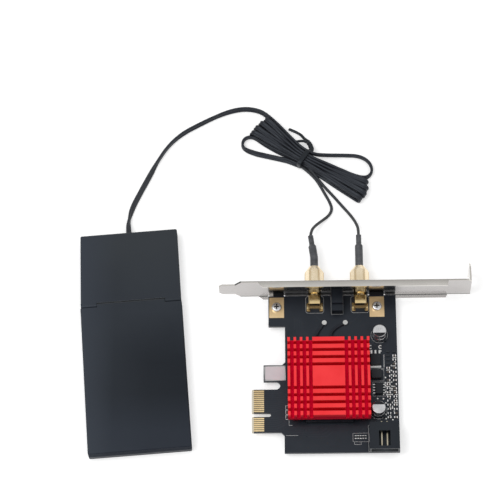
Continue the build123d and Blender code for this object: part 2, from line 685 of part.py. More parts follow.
# Plugs on the leads: a body held in its coupling nut, a crimp, and a stepped heat-shrink sleeve
plug_pins = []
flange_end = JACK_BARREL_END + PLUG_FLANGE_T
for side, u, lean in zip(("left", "right"), JACK_U, SLEEVE_LEAN):
    plug = rod(u, JACK_Z, (JACK_BARREL_END, flange_end), PLUG_FLANGE_R)
    plug += rod(u, JACK_Z, (flange_end, PLUG_NECK_END), PLUG_NECK_R)
    plug += rod(u, JACK_Z, (PLUG_NECK_END, CRIMP_END), CRIMP_R)
    nodes[f"{side}_plug_body"] = CARD * plug
    plug_pins.append(rod(u, JACK_Z, (INSULATOR_END, JACK_BARREL_END), PIN_R))
    nut_face = Plane(origin=(u, NUT_START, JACK_Z), x_dir=(1, 0, 0), z_dir=(0, 1, 0))
    hexagon = nut_face * RegularPolygon(NUT_ACROSS_FLATS / 2, 6, major_radius=False)
    nut = extrude(hexagon, NUT_END - NUT_START, dir=(0, 1, 0))
    corner_r = NUT_ACROSS_FLATS / math.sqrt(3)
    turned = Polyline(
        (0, NUT_START, 0),
        (corner_r - NUT_EDGE, NUT_START, 0),
        (corner_r, NUT_START + NUT_EDGE, 0),
        (corner_r, NUT_END - NUT_DOME_LENGTH, 0),
        (NUT_DOME_R, NUT_END, 0),
        (0, NUT_END, 0),
        close=True,
    )
    nut &= Pos(u, 0, JACK_Z) * revolve(make_face(turned), Axis.Y)
    lip_v = flange_end + RUN
    nut -= rod(u, JACK_Z, (NUT_START, lip_v), JACK_BARREL_R + RUN)
    nut -= rod(u, JACK_Z, (lip_v, NUT_END), PLUG_NECK_R + RUN)
    nodes[f"{side}_coupling_nut"] = CARD * nut
    profile = Polyline(
        (0, 0, 0),
        (SLEEVE_R, 0, 0),
        (SLEEVE_R, SLEEVE_STEP - CRIMP_END, 0),
        (SLEEVE_TIP_R, SLEEVE_STEP - CRIMP_END + SLEEVE_TAPER, 0),
        (SLEEVE_TIP_R, SLEEVE_END - CRIMP_END, 0),
        (0, SLEEVE_END - CRIMP_END, 0),
        close=True,
    )
    sleeve = Pos(u, CRIMP_END, JACK_Z) * Rot(0, 0, lean) * revolve(make_face(profile), Axis.Y)
    if lean:
        sleeve += Pos(u, CRIMP_END, JACK_Z) * Sphere(SLEEVE_R)
    sleeve += rod(u, JACK_Z, (PLUG_NECK_END, CRIMP_END), SLEEVE_R)
    sleeve -= rod(u, JACK_Z, (PLUG_NECK_END, CRIMP_END), CRIMP_R + SLIP)
    nodes[f"{side}_sleeve"] = CARD * sleeve
nodes["plug_pins"] = CARD * Compound(plug_pins)

# Status lamp, its holder and its two bent legs through the board
holder_v = (HOLDER_STEP, BRACKET_V - HOLDER_GAP)
holder_u = (LAMP_U - HOLDER_WIDTH / 2, LAMP_U + HOLDER_WIDTH / 2)
holder = span(holder_u, holder_v, (BOARD_TOP, HOLDER_TOP))
holder = chamfer(holder.edges().filter_by(Axis.Y).group_by(Axis.Z)[-1], JACK_SHOULDER / 2)
holder += span(holder_u, (HOLDER_REAR, HOLDER_STEP), (BOARD_TOP, HOLDER_STEP_TOP))
holder -= rod(LAMP_U, LAMP_Z, (LAMP_REAR, holder_v[1]), LAMP_R + SLIP)
legs = []
for u in lamp_legs_u:
    leg_u = (u - LAMP_LEG / 2, u + LAMP_LEG / 2)
    leg_z = (LAMP_Z - LAMP_LEG / 2, LAMP_Z + LAMP_LEG / 2)
    leg_v = (LAMP_LEG_V - LAMP_LEG / 2, LAMP_LEG_V + LAMP_LEG / 2)
    way_u = (leg_u[0] - HOLE_ROOM, leg_u[1] + HOLE_ROOM)
    holder -= span(way_u, (leg_v[0] - HOLE_ROOM, LAMP_REAR), (leg_z[0] - HOLE_ROOM, leg_z[1] + HOLE_ROOM))
    holder -= span(way_u, (leg_v[0] - HOLE_ROOM, leg_v[1] + HOLE_ROOM), (BOARD_TOP, leg_z[1]))
    leg = span(leg_u, (leg_v[0], LAMP_REAR), leg_z)
    leg += span(leg_u, leg_v, (BOARD_LIFT - PIN_TAIL / 2, leg_z[1]))
    legs.append(leg)
nodes["lamp_holder"] = CARD * holder
nodes["lamp_legs"] = CARD * Compound(legs)
lamp = rod(LAMP_U, LAMP_Z, (LAMP_REAR, LAMP_TIP), LAMP_R)
lamp_rim = lamp.edges().filter_by(GeomType.CIRCLE).group_by(Axis.Y)[-1]
nodes["status_lamp"] = CARD * fillet(lamp_rim, LAMP_R * 0.9)

# Can capacitors on their moulded bases
cans = []
bases = []
for u, v in CAN_PLACES:
    base = Pos(u, v, BOARD_TOP + CAN_BASE_H / 2) * Box(CAN_BASE, CAN_BASE, CAN_BASE_H)
    base = chamfer(base.edges().filter_by(Axis.Z).group_by(Axis.X)[0], CAN_BASE_CUT)
    bases.append(base)
    can_z = BOARD_TOP + CAN_BASE_H
    can = post(u, v, (can_z, can_z + CAN_H), CAN_R)
    can = fillet(can.edges().group_by(Axis.Z)[-1], CAN_GROOVE_R)
    can -= Pos(u, v, can_z + CAN_GROOVE_Z) * Torus(CAN_R + CAN_GROOVE_R / 2, CAN_GROOVE_R)
    cans.append(can.solid())
nodes["capacitor_cans"] = CARD * Compound(cans)
nodes["capacitor_bases"] = CARD * Compound(bases)

# Regulator with a tab and three leads, coil, and logic chip with its two rows of pins
regulator = chip(REGULATOR_AT, REGULATOR_SIZE, BOARD_TOP, CHIP_SLANT)
nodes["regulator"] = CARD * regulator
reg_u, reg_v = REGULATOR_AT
reg_half_v = REGULATOR_SIZE[1] / 2
lead_z = (BOARD_TOP, BOARD_TOP + LEAD_T)
reg_leads = [
    span(
        (reg_u - REGULATOR_SIZE[0] / 2, reg_u + REGULATOR_SIZE[0] / 2),
        (reg_v - reg_half_v - REGULATOR_TAB_LENGTH, reg_v - reg_half_v),
        lead_z,
    )
]
for i in (-1, 0, 1):
    lead_u = reg_u + i * (REGULATOR_LEAD_PITCH - LEAD_T)
    lead_v = (reg_v + reg_half_v, reg_v + reg_half_v + 2 * REGULATOR_TAB_LENGTH)
    reg_leads.append(span((lead_u - LEAD_T, lead_u + LEAD_T), lead_v, lead_z))
nodes["regulator_leads"] = CARD * Compound(reg_leads)
coil = Pos(*COIL_AT, BOARD_TOP + COIL_SIZE[2] / 2) * Box(*COIL_SIZE)
coil = fillet(coil.edges().filter_by(Axis.Z), COIL_SIZE[1] / 6)
nodes["power_coil"] = CARD * chamfer(coil.edges().group_by(Axis.Z)[-1], CHIP_SLANT)
nodes["logic_chip"] = CARD * chip(LOGIC_AT, LOGIC_SIZE, BOARD_TOP, CHIP_SLANT)
logic_pins = []
for end in (-1, 1):
    for i in range(LOGIC_PINS):
        pin_v = LOGIC_AT[1] + (i - (LOGIC_PINS - 1) / 2) * LOGIC_PIN_PITCH
        near = LOGIC_AT[0] + end * LOGIC_SIZE[0] / 2
        pin_u = sorted((near, near + end * REGULATOR_TAB_LENGTH))
        logic_pins.append(span(pin_u, (pin_v - LEAD_T / 2, pin_v + LEAD_T / 2), lead_z))
nodes["logic_chip_pins"] = CARD * Compound(logic_pins)

# Small chip capacitors and resistors
chip_capacitors = []
chip_resistors = []
for column, u in enumerate(CHIP_COLUMNS_U):
    for i in range(CHIP_COUNT):
        v = CHIP_FIRST_V - i * CHIP_PITCH
        place = Pos(u, v, BOARD_TOP + CHIP_SIZE[2] / 2)
        group = chip_capacitors if (i + column) % 3 else chip_resistors
        group.append(place * Box(*CHIP_SIZE))
for i in range(CHIP_ROW_COUNT):
    place = Pos(CHIP_ROW_U + i * CHIP_ROW_PITCH, CHIP_ROW_V, BOARD_TOP + CHIP_ROW_SIZE[2] / 2)
    chip_resistors.append(place * Box(*CHIP_ROW_SIZE))
nodes["chip_capacitors"] = CARD * Compound(chip_capacitors)
nodes["chip_resistors"] = CARD * Compound(chip_resistors)

# Cable header: an open-fronted housing with a window over its two pins
header_z = (BOARD_TOP, BOARD_TOP + HEADER_H)
housing = span(HEADER_U, HEADER_V, header_z)
housing -= span(
    (HEADER_U[0] + HEADER_WALL, HEADER_U[1] - HEADER_WALL),
    (HEADER_V[0], HEADER_V[1] - HEADER_BACK),
    (header_z[0] + HEADER_WALL, header_z[1] - HEADER_WALL),
)
window_v = (HEADER_V[0] + HEADER_WINDOW_EDGE, HEADER_V[0] + HEADER_WINDOW_EDGE + HEADER_WINDOW[1])
housing -= span(
    (header_u - HEADER_WINDOW[0] / 2, header_u + HEADER_WINDOW[0] / 2),
    window_v,
    (header_z[1] - HEADER_WALL, header_z[1]),
)
header_pins = []
pin_mid = (header_z[0] + header_z[1]) / 2
for u in header_pins_u:
    pin_u = (u - HEADER_PIN / 2, u + HEADER_PIN / 2)
    pin_z = (pin_mid - HEADER_PIN / 2, pin_mid + HEADER_PIN / 2)
    pin = span(pin_u, (HEADER_PIN_TIP, header_tail_v + HEADER_PIN / 2), pin_z)
    tail_v = (header_tail_v - HEADER_PIN / 2, header_tail_v + HEADER_PIN / 2)
    pin += span(pin_u, tail_v, (BOARD_LIFT - PIN_TAIL, pin_z[1]))
    header_pins.append(pin)
    pin_way = HEADER_PIN + SLIP
    housing -= Pos(u, HEADER_V[1] - HEADER_BACK / 2, pin_mid) * Box(pin_way, HEADER_BACK, pin_way)
nodes["header_housing"] = CARD * housing
nodes["header_pins"] = CARD * Compound(header_pins)

# Antenna base leaf: top shell with the two hinge cheeks, bottom cover, weight and cable bushing
hinge_z = ANTENNA_T - KNUCKLE_R
leaf_gap = KNUCKLE_R + GAP


def leaf(near_width, far_width, shift, near, far, z):
    """A flat leaf with two rounded corners at its far end, which may be set over to one side."""
    face = make_face(
        Polyline(
            (-near_width / 2, near, z[0]),
            (near_width / 2, near, z[0]),
            (shift + far_width / 2, far, z[0]),
            (shift - far_width / 2, far, z[0]),
            close=True,
        )
    )
    solid = extrude(face, z[1] - z[0], dir=(0, 0, 1))
    corners = solid.edges().filter_by(Axis.Z).sort_by(lambda edge: -abs(edge.center().Y))[:2]
    return fillet(corners, LEAF_CORNER)


def eased(shell, near):
    """The shell with a small chamfer round its top, but not along the hinge."""
    rim = shell.faces().sort_by(Axis.Z)[-1].edges()
    return chamfer([edge for edge in rim if abs(edge.center().Y - near) > LEAF_EDGE], LEAF_EDGE)


def hollow(shell, near_width, far_width, shift, near, far, z):
    """The shell with its inside cleared to a wall, open at its lower side."""
    room = make_face(
        Polyline(
            (-near_width / 2 + WALL, near, z[0]),
            (near_width / 2 - WALL, near, z[0]),
            (shift + far_width / 2 - WALL, far, z[0]),
            (shift - far_width / 2 + WALL, far, z[0]),
            close=True,
        )
    )
    return shell - extrude(room, z[1] - z[0], dir=(0, 0, 1))


shell_z = (COVER_T, ANTENNA_T)
room_z = (COVER_T, ANTENNA_T - WALL)
base_plan = (BASE_HINGE_WIDTH, BASE_END_WIDTH, BASE_END_SHIFT)
base_top = leaf(*base_plan, leaf_gap, BASE_LENGTH, shell_z)
base_top = eased(base_top, leaf_gap)
base_top = hollow(base_top, *base_plan, leaf_gap + WALL, BASE_LENGTH - WALL, room_z)
hinge_pins = []
tongue_half = BASE_HINGE_WIDTH / 2 - CHEEK_WIDTH - GAP
for side in (-1, 1):
    cheek_x = sorted((side * BASE_HINGE_WIDTH / 2, side * (BASE_HINGE_WIDTH / 2 - CHEEK_WIDTH)))
    base_top += bar(0, hinge_z, cheek_x, KNUCKLE_R)
    base_top += span(cheek_x, (0, leaf_gap), (hinge_z - KNUCKLE_R, ANTENNA_T))
    pin_x = sorted((side * (BASE_HINGE_WIDTH / 2 - WALL), side * (tongue_half - HINGE_PIN_GRIP)))
    base_top -= bar(0, hinge_z, pin_x, HINGE_PIN_R + SLIP / 2)
    hinge_pins.append(bar(0, hinge_z, pin_x, HINGE_PIN_R))
bushing_v = (BASE_LENGTH - WALL, BASE_LENGTH + BUSHING_PROUD)
base_top -= rod(BASE_END_SHIFT, EXIT_Z, (BASE_LENGTH - WALL, BASE_LENGTH), BUSHING_R)
nodes["base_top_shell"] = ANTENNA * base_top
base_cover = leaf(*base_plan, leaf_gap, BASE_LENGTH, (0, COVER_T))
nodes["base_bottom_cover"] = ANTENNA * base_cover
weight_y = leaf_gap + (BASE_LENGTH - leaf_gap) / 2
weight = Pos(0, weight_y, COVER_T + WEIGHT_SIZE[2] / 2) * Box(*WEIGHT_SIZE)
nodes["base_weight"] = ANTENNA * fillet(weight.edges().filter_by(Axis.Z), LEAF_CORNER)
bushing = rod(BASE_END_SHIFT, EXIT_Z, bushing_v, BUSHING_R)
nodes["cable_bushing"] = ANTENNA * bushing
nodes["hinge_pins"] = ANTENNA * Compound(hinge_pins)

# Antenna blade: front shell with the hinge tongue, back cover, and two radiator boards
blade_plan = (BLADE_WIDTH, BLADE_WIDTH, 0)
blade_front = leaf(*blade_plan, -leaf_gap, -BLADE_LENGTH, shell_z)
blade_front = eased(blade_front, -leaf_gap)
blade_front = hollow(blade_front, *blade_plan, -leaf_gap - WALL, -BLADE_LENGTH + WALL, room_z)
blade_front += bar(0, hinge_z, (-tongue_half, tongue_half), KNUCKLE_R)
blade_front += span((-tongue_half, tongue_half), (-leaf_gap, 0), (hinge_z - KNUCKLE_R, ANTENNA_T))
for side in (-1, 1):
    bore_x = sorted((side * tongue_half, side * (tongue_half - HINGE_PIN_GRIP - GAP)))
    blade_front -= bar(0, hinge_z, bore_x, HINGE_PIN_R + RUN)
nodes["blade_front_shell"] = ANTENNA * blade_front
blade_cover = leaf(*blade_plan, -leaf_gap, -BLADE_LENGTH, (0, COVER_T))
nodes["blade_back_cover"] = ANTENNA * blade_cover
radiator_y = -leaf_gap - (BLADE_LENGTH - leaf_gap) / 2
radiators = []
for side in (-1, 1):
    place = Pos(side * RADIATOR_PITCH / 2, radiator_y, COVER_T + RADIATOR_SIZE[2] / 2)
    radiators.append(place * Box(*RADIATOR_SIZE))
nodes["radiator_boards"] = ANTENNA * Compound(radiators)

# Cables, laid by hand over the table from the antenna to the hank and on to the plugs
twin_exit = ANTENNA * Pos(BASE_END_SHIFT, BASE_LENGTH + BUSHING_PROUD, EXIT_Z)
nodes["twin_cable"] = cord_tube("twin_cable", (tuple(twin_exit.position), *TWIN_ROUTE), TWIN_R)
lead_routes = (LEFT_LEAD_ROUTE, RIGHT_LEAD_ROUTE)
for side, u, lean, lead_route in zip(("left", "right"), JACK_U, SLEEVE_LEAN, lead_routes):
    sleeve_end = CARD * Pos(u, CRIMP_END, JACK_Z) * Rot(0, 0, lean) * Pos(0, SLEEVE_END - CRIMP_END, 0)
    nodes[f"{side}_lead"] = cord_tube(f"{side}_lead", (tuple(sleeve_end.position), *lead_route), LEAD_R)
nodes["left_loose_loop"] = cord_tube("left_loose_loop", LEFT_LOOP_ROUTE, TWIN_R)
nodes["right_loose_loop"] = cord_tube("right_loose_loop", RIGHT_LOOP_ROUTE, TWIN_R)

# Hank: a bow-tie bundle, narrow where the tie grips it and fanned at both ends
HANK = Pos(*HANK_AT, 0) * Rot(0, 0, HANK_TURN)
waist = HANK_WAIST_HALF_LENGTH
hank_line = Polyline(
    (-waist, HANK_WAIST_HALF),
    (waist, HANK_WAIST_HALF),
    (HANK_RIGHT - HANK_END_HALF / 2, HANK_END_HALF),
)
hank_line += ThreePointArc(
    (HANK_RIGHT - HANK_END_HALF / 2, HANK_END_HALF),
    (HANK_RIGHT, 0),
    (HANK_RIGHT - HANK_END_HALF / 2, -HANK_END_HALF),
)
hank_line += Polyline(
    (HANK_RIGHT - HANK_END_HALF / 2, -HANK_END_HALF),
    (waist, -HANK_WAIST_HALF),
    (-waist, -HANK_WAIST_HALF),
    (-HANK_LEFT + HANK_END_HALF / 2, -HANK_END_HALF),
)
hank_line += ThreePointArc(
    (-HANK_LEFT + HANK_END_HALF / 2, -HANK_END_HALF),
    (-HANK_LEFT, 0),
    (-HANK_LEFT + HANK_END_HALF / 2, HANK_END_HALF),
)
hank_line += Line((-HANK_LEFT + HANK_END_HALF / 2, HANK_END_HALF), (-waist, HANK_WAIST_HALF))
hank = extrude(make_face(hank_line), HANK_H)
hank = chamfer(hank.edges().group_by(Axis.Z)[-1], HANK_H / 5)
tie_seat = Pos(0, 0, HANK_H / 2) * Box(TIE_WIDTH + 2 * GAP, 2 * HANK_END_HALF, 2 * HANK_H)
seat_half = HANK_WAIST_HALF - TIE_T
seat_h = HANK_H - 2 * TIE_T
core = Pos(0, 0, HANK_H / 2) * Box(TIE_WIDTH + 2 * GAP, 2 * seat_half, seat_h)
hank -= tie_seat - core
nodes["cable_hank"] = HANK * hank
band = Pos(0, 0, HANK_H / 2) * Box(TIE_WIDTH, 2 * (seat_half + TIE_T), seat_h + 2 * TIE_T)
band = fillet(band.edges().filter_by(Axis.X), TIE_T)
band -= Pos(0, 0, HANK_H / 2) * Box(TIE_WIDTH, 2 * seat_half + SLIP, seat_h + SLIP)
nodes["twist_tie"] = HANK * band
tail_start = HANK * Pos(0, seat_half + TIE_T, HANK_H / 2)
nodes["tie_tail"] = cord_tube("tie_tail", (tuple(tail_start.position), *TIE_TAIL_ROUTE), TIE_WIRE_R)

for name, shape in nodes.items():
    export_step(shape, f"parts/{name}.step")
print(len(nodes), "nodes")
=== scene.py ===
import math

import bpy
import numpy as np
from mathutils import Matrix, Vector


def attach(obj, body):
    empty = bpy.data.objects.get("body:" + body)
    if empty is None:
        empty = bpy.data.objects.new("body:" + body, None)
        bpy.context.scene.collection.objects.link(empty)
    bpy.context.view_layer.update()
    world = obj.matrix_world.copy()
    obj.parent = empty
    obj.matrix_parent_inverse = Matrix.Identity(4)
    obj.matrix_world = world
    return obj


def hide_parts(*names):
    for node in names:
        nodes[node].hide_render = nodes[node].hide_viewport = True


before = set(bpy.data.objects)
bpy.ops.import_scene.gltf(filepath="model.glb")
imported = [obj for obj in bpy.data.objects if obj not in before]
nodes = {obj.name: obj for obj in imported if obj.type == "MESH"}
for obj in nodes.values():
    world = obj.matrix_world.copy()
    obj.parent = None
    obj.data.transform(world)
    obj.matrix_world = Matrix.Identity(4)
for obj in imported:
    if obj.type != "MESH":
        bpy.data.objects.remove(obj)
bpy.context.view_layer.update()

# Circuit board
# Glass laminate under black solder mask, routed to shape, with a pale bevel along the finger edge.
# Its copper runs stand a hair proud under the mask, and bare vias dot the ground fill.
CARD_AT = (-11.05, 22.25)
BOARD_TOP = 4.17
BEVEL_END_U = 0.9
BEVEL_LAMINATE = (0.66, 0.61, 0.5)
COOL_SHEEN = (0.8, 0.9, 1.0, 1.0)
LEFT_JACK_U = 30.2
RIGHT_JACK_U = 51.8
COPPER_Z = BOARD_TOP + 0.02
COPPER_WIDTH = 0.32
# Each row of contacts: count, first v, u of the bend, middle v, the v its runs gather round, how far they do
CONTACT_FANS = ((11, -48.125, 11.0, -53.1, -53.1, 0.62), (7, -61.675, 10.6, -61.7, -61.0, 0.55))
CONTACT_END_U = 5.7
FAN_END_U = 17.3
VIA_Z = BOARD_TOP + 0.025
VIA_COUNT = 130
VIA_FIELD = ((17.0, -77.5), (68.0, -9.5))
VIA_R = 0.22
VIA_RIM = 0.2


def add_node(tree, kind, sockets=None, **settings):
    made = tree.nodes.new(kind)
    for key, value in settings.items():
        setattr(made, key, value)
    for key, value in (sockets or {}).items():
        if isinstance(value, bpy.types.NodeSocket):
            tree.links.new(value, made.inputs[key])
        else:
            made.inputs[key].default_value = value
    return made


def maths(tree, operation, *values):
    return add_node(tree, "ShaderNodeMath", dict(enumerate(values)), operation=operation).outputs[0]


def overlap(tree, first, *others):
    for mask in others:
        first = maths(tree, "MULTIPLY", first, mask)
    return first


def between(tree, value, low, high):
    return overlap(tree, maths(tree, "GREATER_THAN", value, low), maths(tree, "LESS_THAN", value, high))


def distance(tree, value, middle):
    return maths(tree, "ABSOLUTE", maths(tree, "SUBTRACT", value, middle))


def mapped(tree, value, source, target):
    sockets = {0: value, 1: source[0], 2: source[1], 3: target[0], 4: target[1]}
    return add_node(tree, "ShaderNodeMapRange", sockets).outputs[0]


def shader_group(name, inputs, outputs):
    group = bpy.data.node_groups.new(name, "ShaderNodeTree")
    for label, kind, value in inputs:
        group.interface.new_socket(name=label, in_out="INPUT", socket_type=kind).default_value = value
    for label in outputs:
        group.interface.new_socket(name=label, in_out="OUTPUT", socket_type="NodeSocketFloat")
    return group, group.nodes.new("NodeGroupInput").outputs, group.nodes.new("NodeGroupOutput").inputs


# Grain of a moulded, coated or plated surface: a fine height, and a wide soft tone of handling marks
surface_grain, given, out = shader_group(
    "surface_grain",
    [("Stretch", "NodeSocketVector", (2500.0, 2500.0, 2500.0)), ("Blotch", "NodeSocketFloat", 90.0)],
    ["Height", "Tone"],
)
place = add_node(surface_grain, "ShaderNodeTexCoord").outputs["Object"]
scaled = {0: place, 1: given["Stretch"]}
stretched = add_node(surface_grain, "ShaderNodeVectorMath", scaled, operation="MULTIPLY").outputs[0]
fine = add_node(surface_grain, "ShaderNodeTexNoise", {"Vector": stretched, "Scale": 1.0, "Detail": 3.0})
wide = add_node(surface_grain, "ShaderNodeTexNoise", {"Vector": place, "Scale": given["Blotch"], "Detail": 5.0})
surface_grain.links.new(fine.outputs[0], out["Height"])
surface_grain.links.new(wide.outputs[0], out["Tone"])


def finish(name, colours, rough, stretch=2500.0, depth=0.00001, metallic=0.0, blotch=90.0, specular=0.5):
    """A material between two colours and two roughnesses, with the surface grain in its tone and bump."""
    material = bpy.data.materials.new(name)
    material.use_nodes = True
    tree = material.node_tree
    shader = tree.nodes["Principled BSDF"]
    shader.inputs["Metallic"].default_value = metallic
    shader.inputs["Specular IOR Level"].default_value = specular
    if metallic == 0.0:
        shader.inputs["Specular Tint"].default_value = COOL_SHEEN
    grain = add_node(tree, "ShaderNodeGroup", node_tree=surface_grain)
    grain.inputs["Stretch"].default_value = (stretch,) * 3 if isinstance(stretch, float) else stretch
    grain.inputs["Blotch"].default_value = blotch
    tone = mapped(tree, grain.outputs["Tone"], (0.35, 0.65), (0.0, 1.0))
    dark, light = [(*colour, 1.0) for colour in colours]
    mix = add_node(tree, "ShaderNodeMix", {0: tone, 6: dark, 7: light}, data_type="RGBA")
    tree.links.new(mix.outputs[2], shader.inputs["Base Color"])
    speckle = mapped(tree, grain.outputs["Height"], (0.3, 0.7), (-0.4, 0.4))
    worn = mapped(tree, maths(tree, "ADD", tone, speckle), (0.0, 1.0), rough)
    tree.links.new(worn, shader.inputs["Roughness"])
    relief = {"Height": grain.outputs["Height"], "Strength": 0.6, "Distance": depth}
    bump = add_node(tree, "ShaderNodeBump", relief)
    tree.links.new(bump.outputs[0], shader.inputs["Normal"])
    return material


def paint_where(material, mask, colour):
    tree = material.node_tree
    socket = tree.nodes["Principled BSDF"].inputs["Base Color"]
    under = socket.links[0].from_socket
    mix = add_node(tree, "ShaderNodeMix", {0: mask, 6: under, 7: (*colour, 1.0)}, data_type="RGBA")
    tree.links.new(mix.outputs[2], socket)


def coordinates(material):
    tree = material.node_tree
    place = add_node(tree, "ShaderNodeTexCoord").outputs["Object"]
    return tree, *add_node(tree, "ShaderNodeSeparateXYZ", {0: place}).outputs


def dress(material, *names):
    for name in names:
        nodes[name].data.materials.clear()
        nodes[name].data.materials.append(material)


def card_x(u):
    return (u + CARD_AT[0]) / 1000


def card_y(v):
    return (v + CARD_AT[1]) / 1000


def mesh_piece(name, verts, faces, material, smooth=False):
    mesh = bpy.data.meshes.new(name)
    mesh.from_pydata(verts, [], faces)
    mesh.materials.append(material)
    for face in mesh.polygons:
        face.use_smooth = smooth
    piece = bpy.data.objects.new(name, mesh)
    bpy.context.scene.collection.objects.link(piece)
    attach(piece, "card")
    return piece


def strokes(lines, width, z):
    """Flat strips of one width along lines on the board, mitred at their corners."""
    verts, faces = [], []
    for line in lines:
        line = [Vector(point) for point in line]
        closed = (line[0] - line[-1]).length < 1e-6
        line = line[:-1] if closed else line
        count = len(line)
        base = len(verts)
        for i, point in enumerate(line):
            before = line[i - 1] if i or closed else point * 2 - line[i + 1]
            after = line[(i + 1) % count] if i < count - 1 or closed else point * 2 - line[i - 1]
            a = (point - before).normalized()
            b = (after - point).normalized()
            mitre = Vector((-a.y - b.y, a.x + b.x)).normalized()
            reach = width / 2 / max(0.4, mitre.dot(Vector((-a.y, a.x))))
            for u, v in (point + mitre * reach, point - mitre * reach):
                verts.append((card_x(u), card_y(v), z / 1000))
        for i in range(count if closed else count - 1):
            j = (i + 1) % count
            faces.append((base + 2 * i + 1, base + 2 * j + 1, base + 2 * j, base + 2 * i))
    return verts, faces


def ring(u, v, radius, steps=20):
    turns = [i * math.tau / steps for i in range(steps + 1)]
    return [(u + radius * math.cos(turn), v + radius * math.sin(turn)) for turn in turns]


solder_mask = finish(
    "solder_mask", ((0.0085, 0.0102, 0.0155), (0.0125, 0.0147, 0.021)), (0.32, 0.46),
    stretch=900.0, depth=0.000006, specular=0.38,
)
tree, x, y, z = coordinates(solder_mask)
paint_where(solder_mask, maths(tree, "LESS_THAN", x, card_x(BEVEL_END_U)), BEVEL_LAMINATE)
dress(solder_mask, "circuit_board", "module_board")

masked_copper = finish(
    "masked_copper", ((0.0145, 0.017, 0.0235), (0.02, 0.0225, 0.03)), (0.26, 0.4),
    stretch=900.0, depth=0.000006, specular=0.36,
)
runs = []
for count, first_v, bend_u, middle_v, gather_v, gather in CONTACT_FANS:
    for i in range(count):
        v = first_v - i
        bend = (bend_u + 0.5 * (i % 3), v)
        runs.append([(CONTACT_END_U, v), bend, (FAN_END_U, gather_v + (v - middle_v) * gather)])
runs.append([(LEFT_JACK_U, -8.2), (LEFT_JACK_U, -9.8), (33.6, -13.2)])
runs.append([(RIGHT_JACK_U, -8.2), (RIGHT_JACK_U, -9.6), (48.2, -13.2), (45.6, -14.0)])
for i in range(6):
    u = 20.4 + 0.8 * i
    runs.append([(u, -10.6 - 0.5 * i), (u, -17.5), (u + 2.4, -19.9), (u + 2.4, -24.5)])
for i in range(5):
    v = -66.4 - 1.1 * i
    runs.append([(18.6 + 1.4 * i, v), (30.0 + 1.2 * i, v), (33.0 + 1.2 * i, v + 2.2)])
for i in range(4):
    u = 54.0 - 0.9 * i
    runs.append([(u + 2.2, -65.4), (u, -67.8), (u, -70.0)])
verts, faces = strokes(runs, COPPER_WIDTH, COPPER_Z)
mesh_piece("copper_runs", verts, faces, masked_copper)

via_copper = finish(
    "via_copper", ((0.018, 0.019, 0.022), (0.032, 0.032, 0.034)), (0.3, 0.45),
    stretch=1500.0, depth=0.000005, metallic=0.6,
)
spots = np.random.RandomState(11).uniform(*VIA_FIELD, (VIA_COUNT, 2))
verts, faces = strokes([ring(u, v, VIA_R, 10) for u, v in spots], VIA_RIM, VIA_Z)
mesh_piece("vias", verts, faces, via_copper)

# Printed outlines
# White ink lines that show where each part sits on the board.
# They're screen-printed on the mask after it has cured.
INK_Z = BOARD_TOP + 0.03
INK_WIDTH = 0.13
JACK_PRINT = (-8.9, -0.3)
JACK_PRINT_HALF = 4.3
CAN_PRINT_R = 3.95
HEADER_PRINT_U = 54.4
HEADER_PRINT_V = -65.6
legend_ink = finish(
    "legend_ink", ((0.4, 0.4, 0.4), (0.6, 0.6, 0.59)), (0.5, 0.7), stretch=1800.0, depth=0.000004,
)


def outline(u0, v0, u1, v1, cut):
    return [
        (u0 + cut, v0), (u1 - cut, v0), (u1, v0 + cut), (u1, v1 - cut),
        (u1 - cut, v1), (u0 + cut, v1), (u0, v1 - cut), (u0, v0 + cut), (u0 + cut, v0),
    ]


prints = []
for u in (LEFT_JACK_U, RIGHT_JACK_U):
    prints.append(outline(u - JACK_PRINT_HALF, JACK_PRINT[0], u + JACK_PRINT_HALF, JACK_PRINT[1], 0.8))
prints += [
    outline(38.0, -9.6, 43.7, 0.3, 0.3),
    ring(60.6, -20.5, CAN_PRINT_R, 40),
    ring(59.3, -58.6, CAN_PRINT_R, 40),
    [(62.4, -30.6), (62.4, -37.4), (55.6, -37.4)],
    outline(55.7, -43.6, 62.3, -37.9, 0.2),
    outline(56.9, -51.2, 63.2, -44.2, 0.2),
    [(HEADER_PRINT_U, HEADER_PRINT_V), (HEADER_PRINT_U, -78.8)],
    [(HEADER_PRINT_U, HEADER_PRINT_V), (68.6, HEADER_PRINT_V)],
    outline(47.1, -73.6, 54.7, -69.4, 0.3),
    [(47.8, -73.6), (47.8, -74.9), (50.9, -74.9), (50.9, -73.6)],
    [(62.6, -30.2), (62.6, -36.6)],
    [(57.4, -62.3), (58.3, -62.3)],
    [(59.0, -62.3), (59.9, -62.3)],
    [(60.0, -23.9), (61.0, -23.9)],
]
prints += [outline(15.9, v - 1.0, 18.6, v + 1.0, 0.0) for v in (-56.4, -58.8, -61.2)]
prints += [
    [(54.6, -78.5), (68.4, -78.5)],
    [(17.4, -62.4), (17.4, -65.2), (19.0, -65.2)],
    [(15.9, -70.2), (21.6, -70.2)],
]
verts, faces = strokes(prints, INK_WIDTH, INK_Z)
mesh_piece("printed_outlines", verts, faces, legend_ink)

# Gold contacts and bare lands
# Gold flash over nickel on the copper of the edge contacts and of the lands under the two bracket screws.
# The contacts are polished by their socket, so fine strokes run along each one.
land_gold = finish(
    "land_gold", ((0.73, 0.53, 0.29), (0.83, 0.62, 0.36)), (0.3, 0.46),
    stretch=1400.0, depth=0.000006, metallic=1.0, blotch=160.0,
)
dress(land_gold, "screw_lands")
contact_gold = finish(
    "contact_gold", ((0.72, 0.54, 0.29), (0.84, 0.66, 0.38)), (0.24, 0.4),
    stretch=(300.0, 6000.0, 300.0), depth=0.000004, metallic=1.0,
)
dress(contact_gold, "edge_contacts")

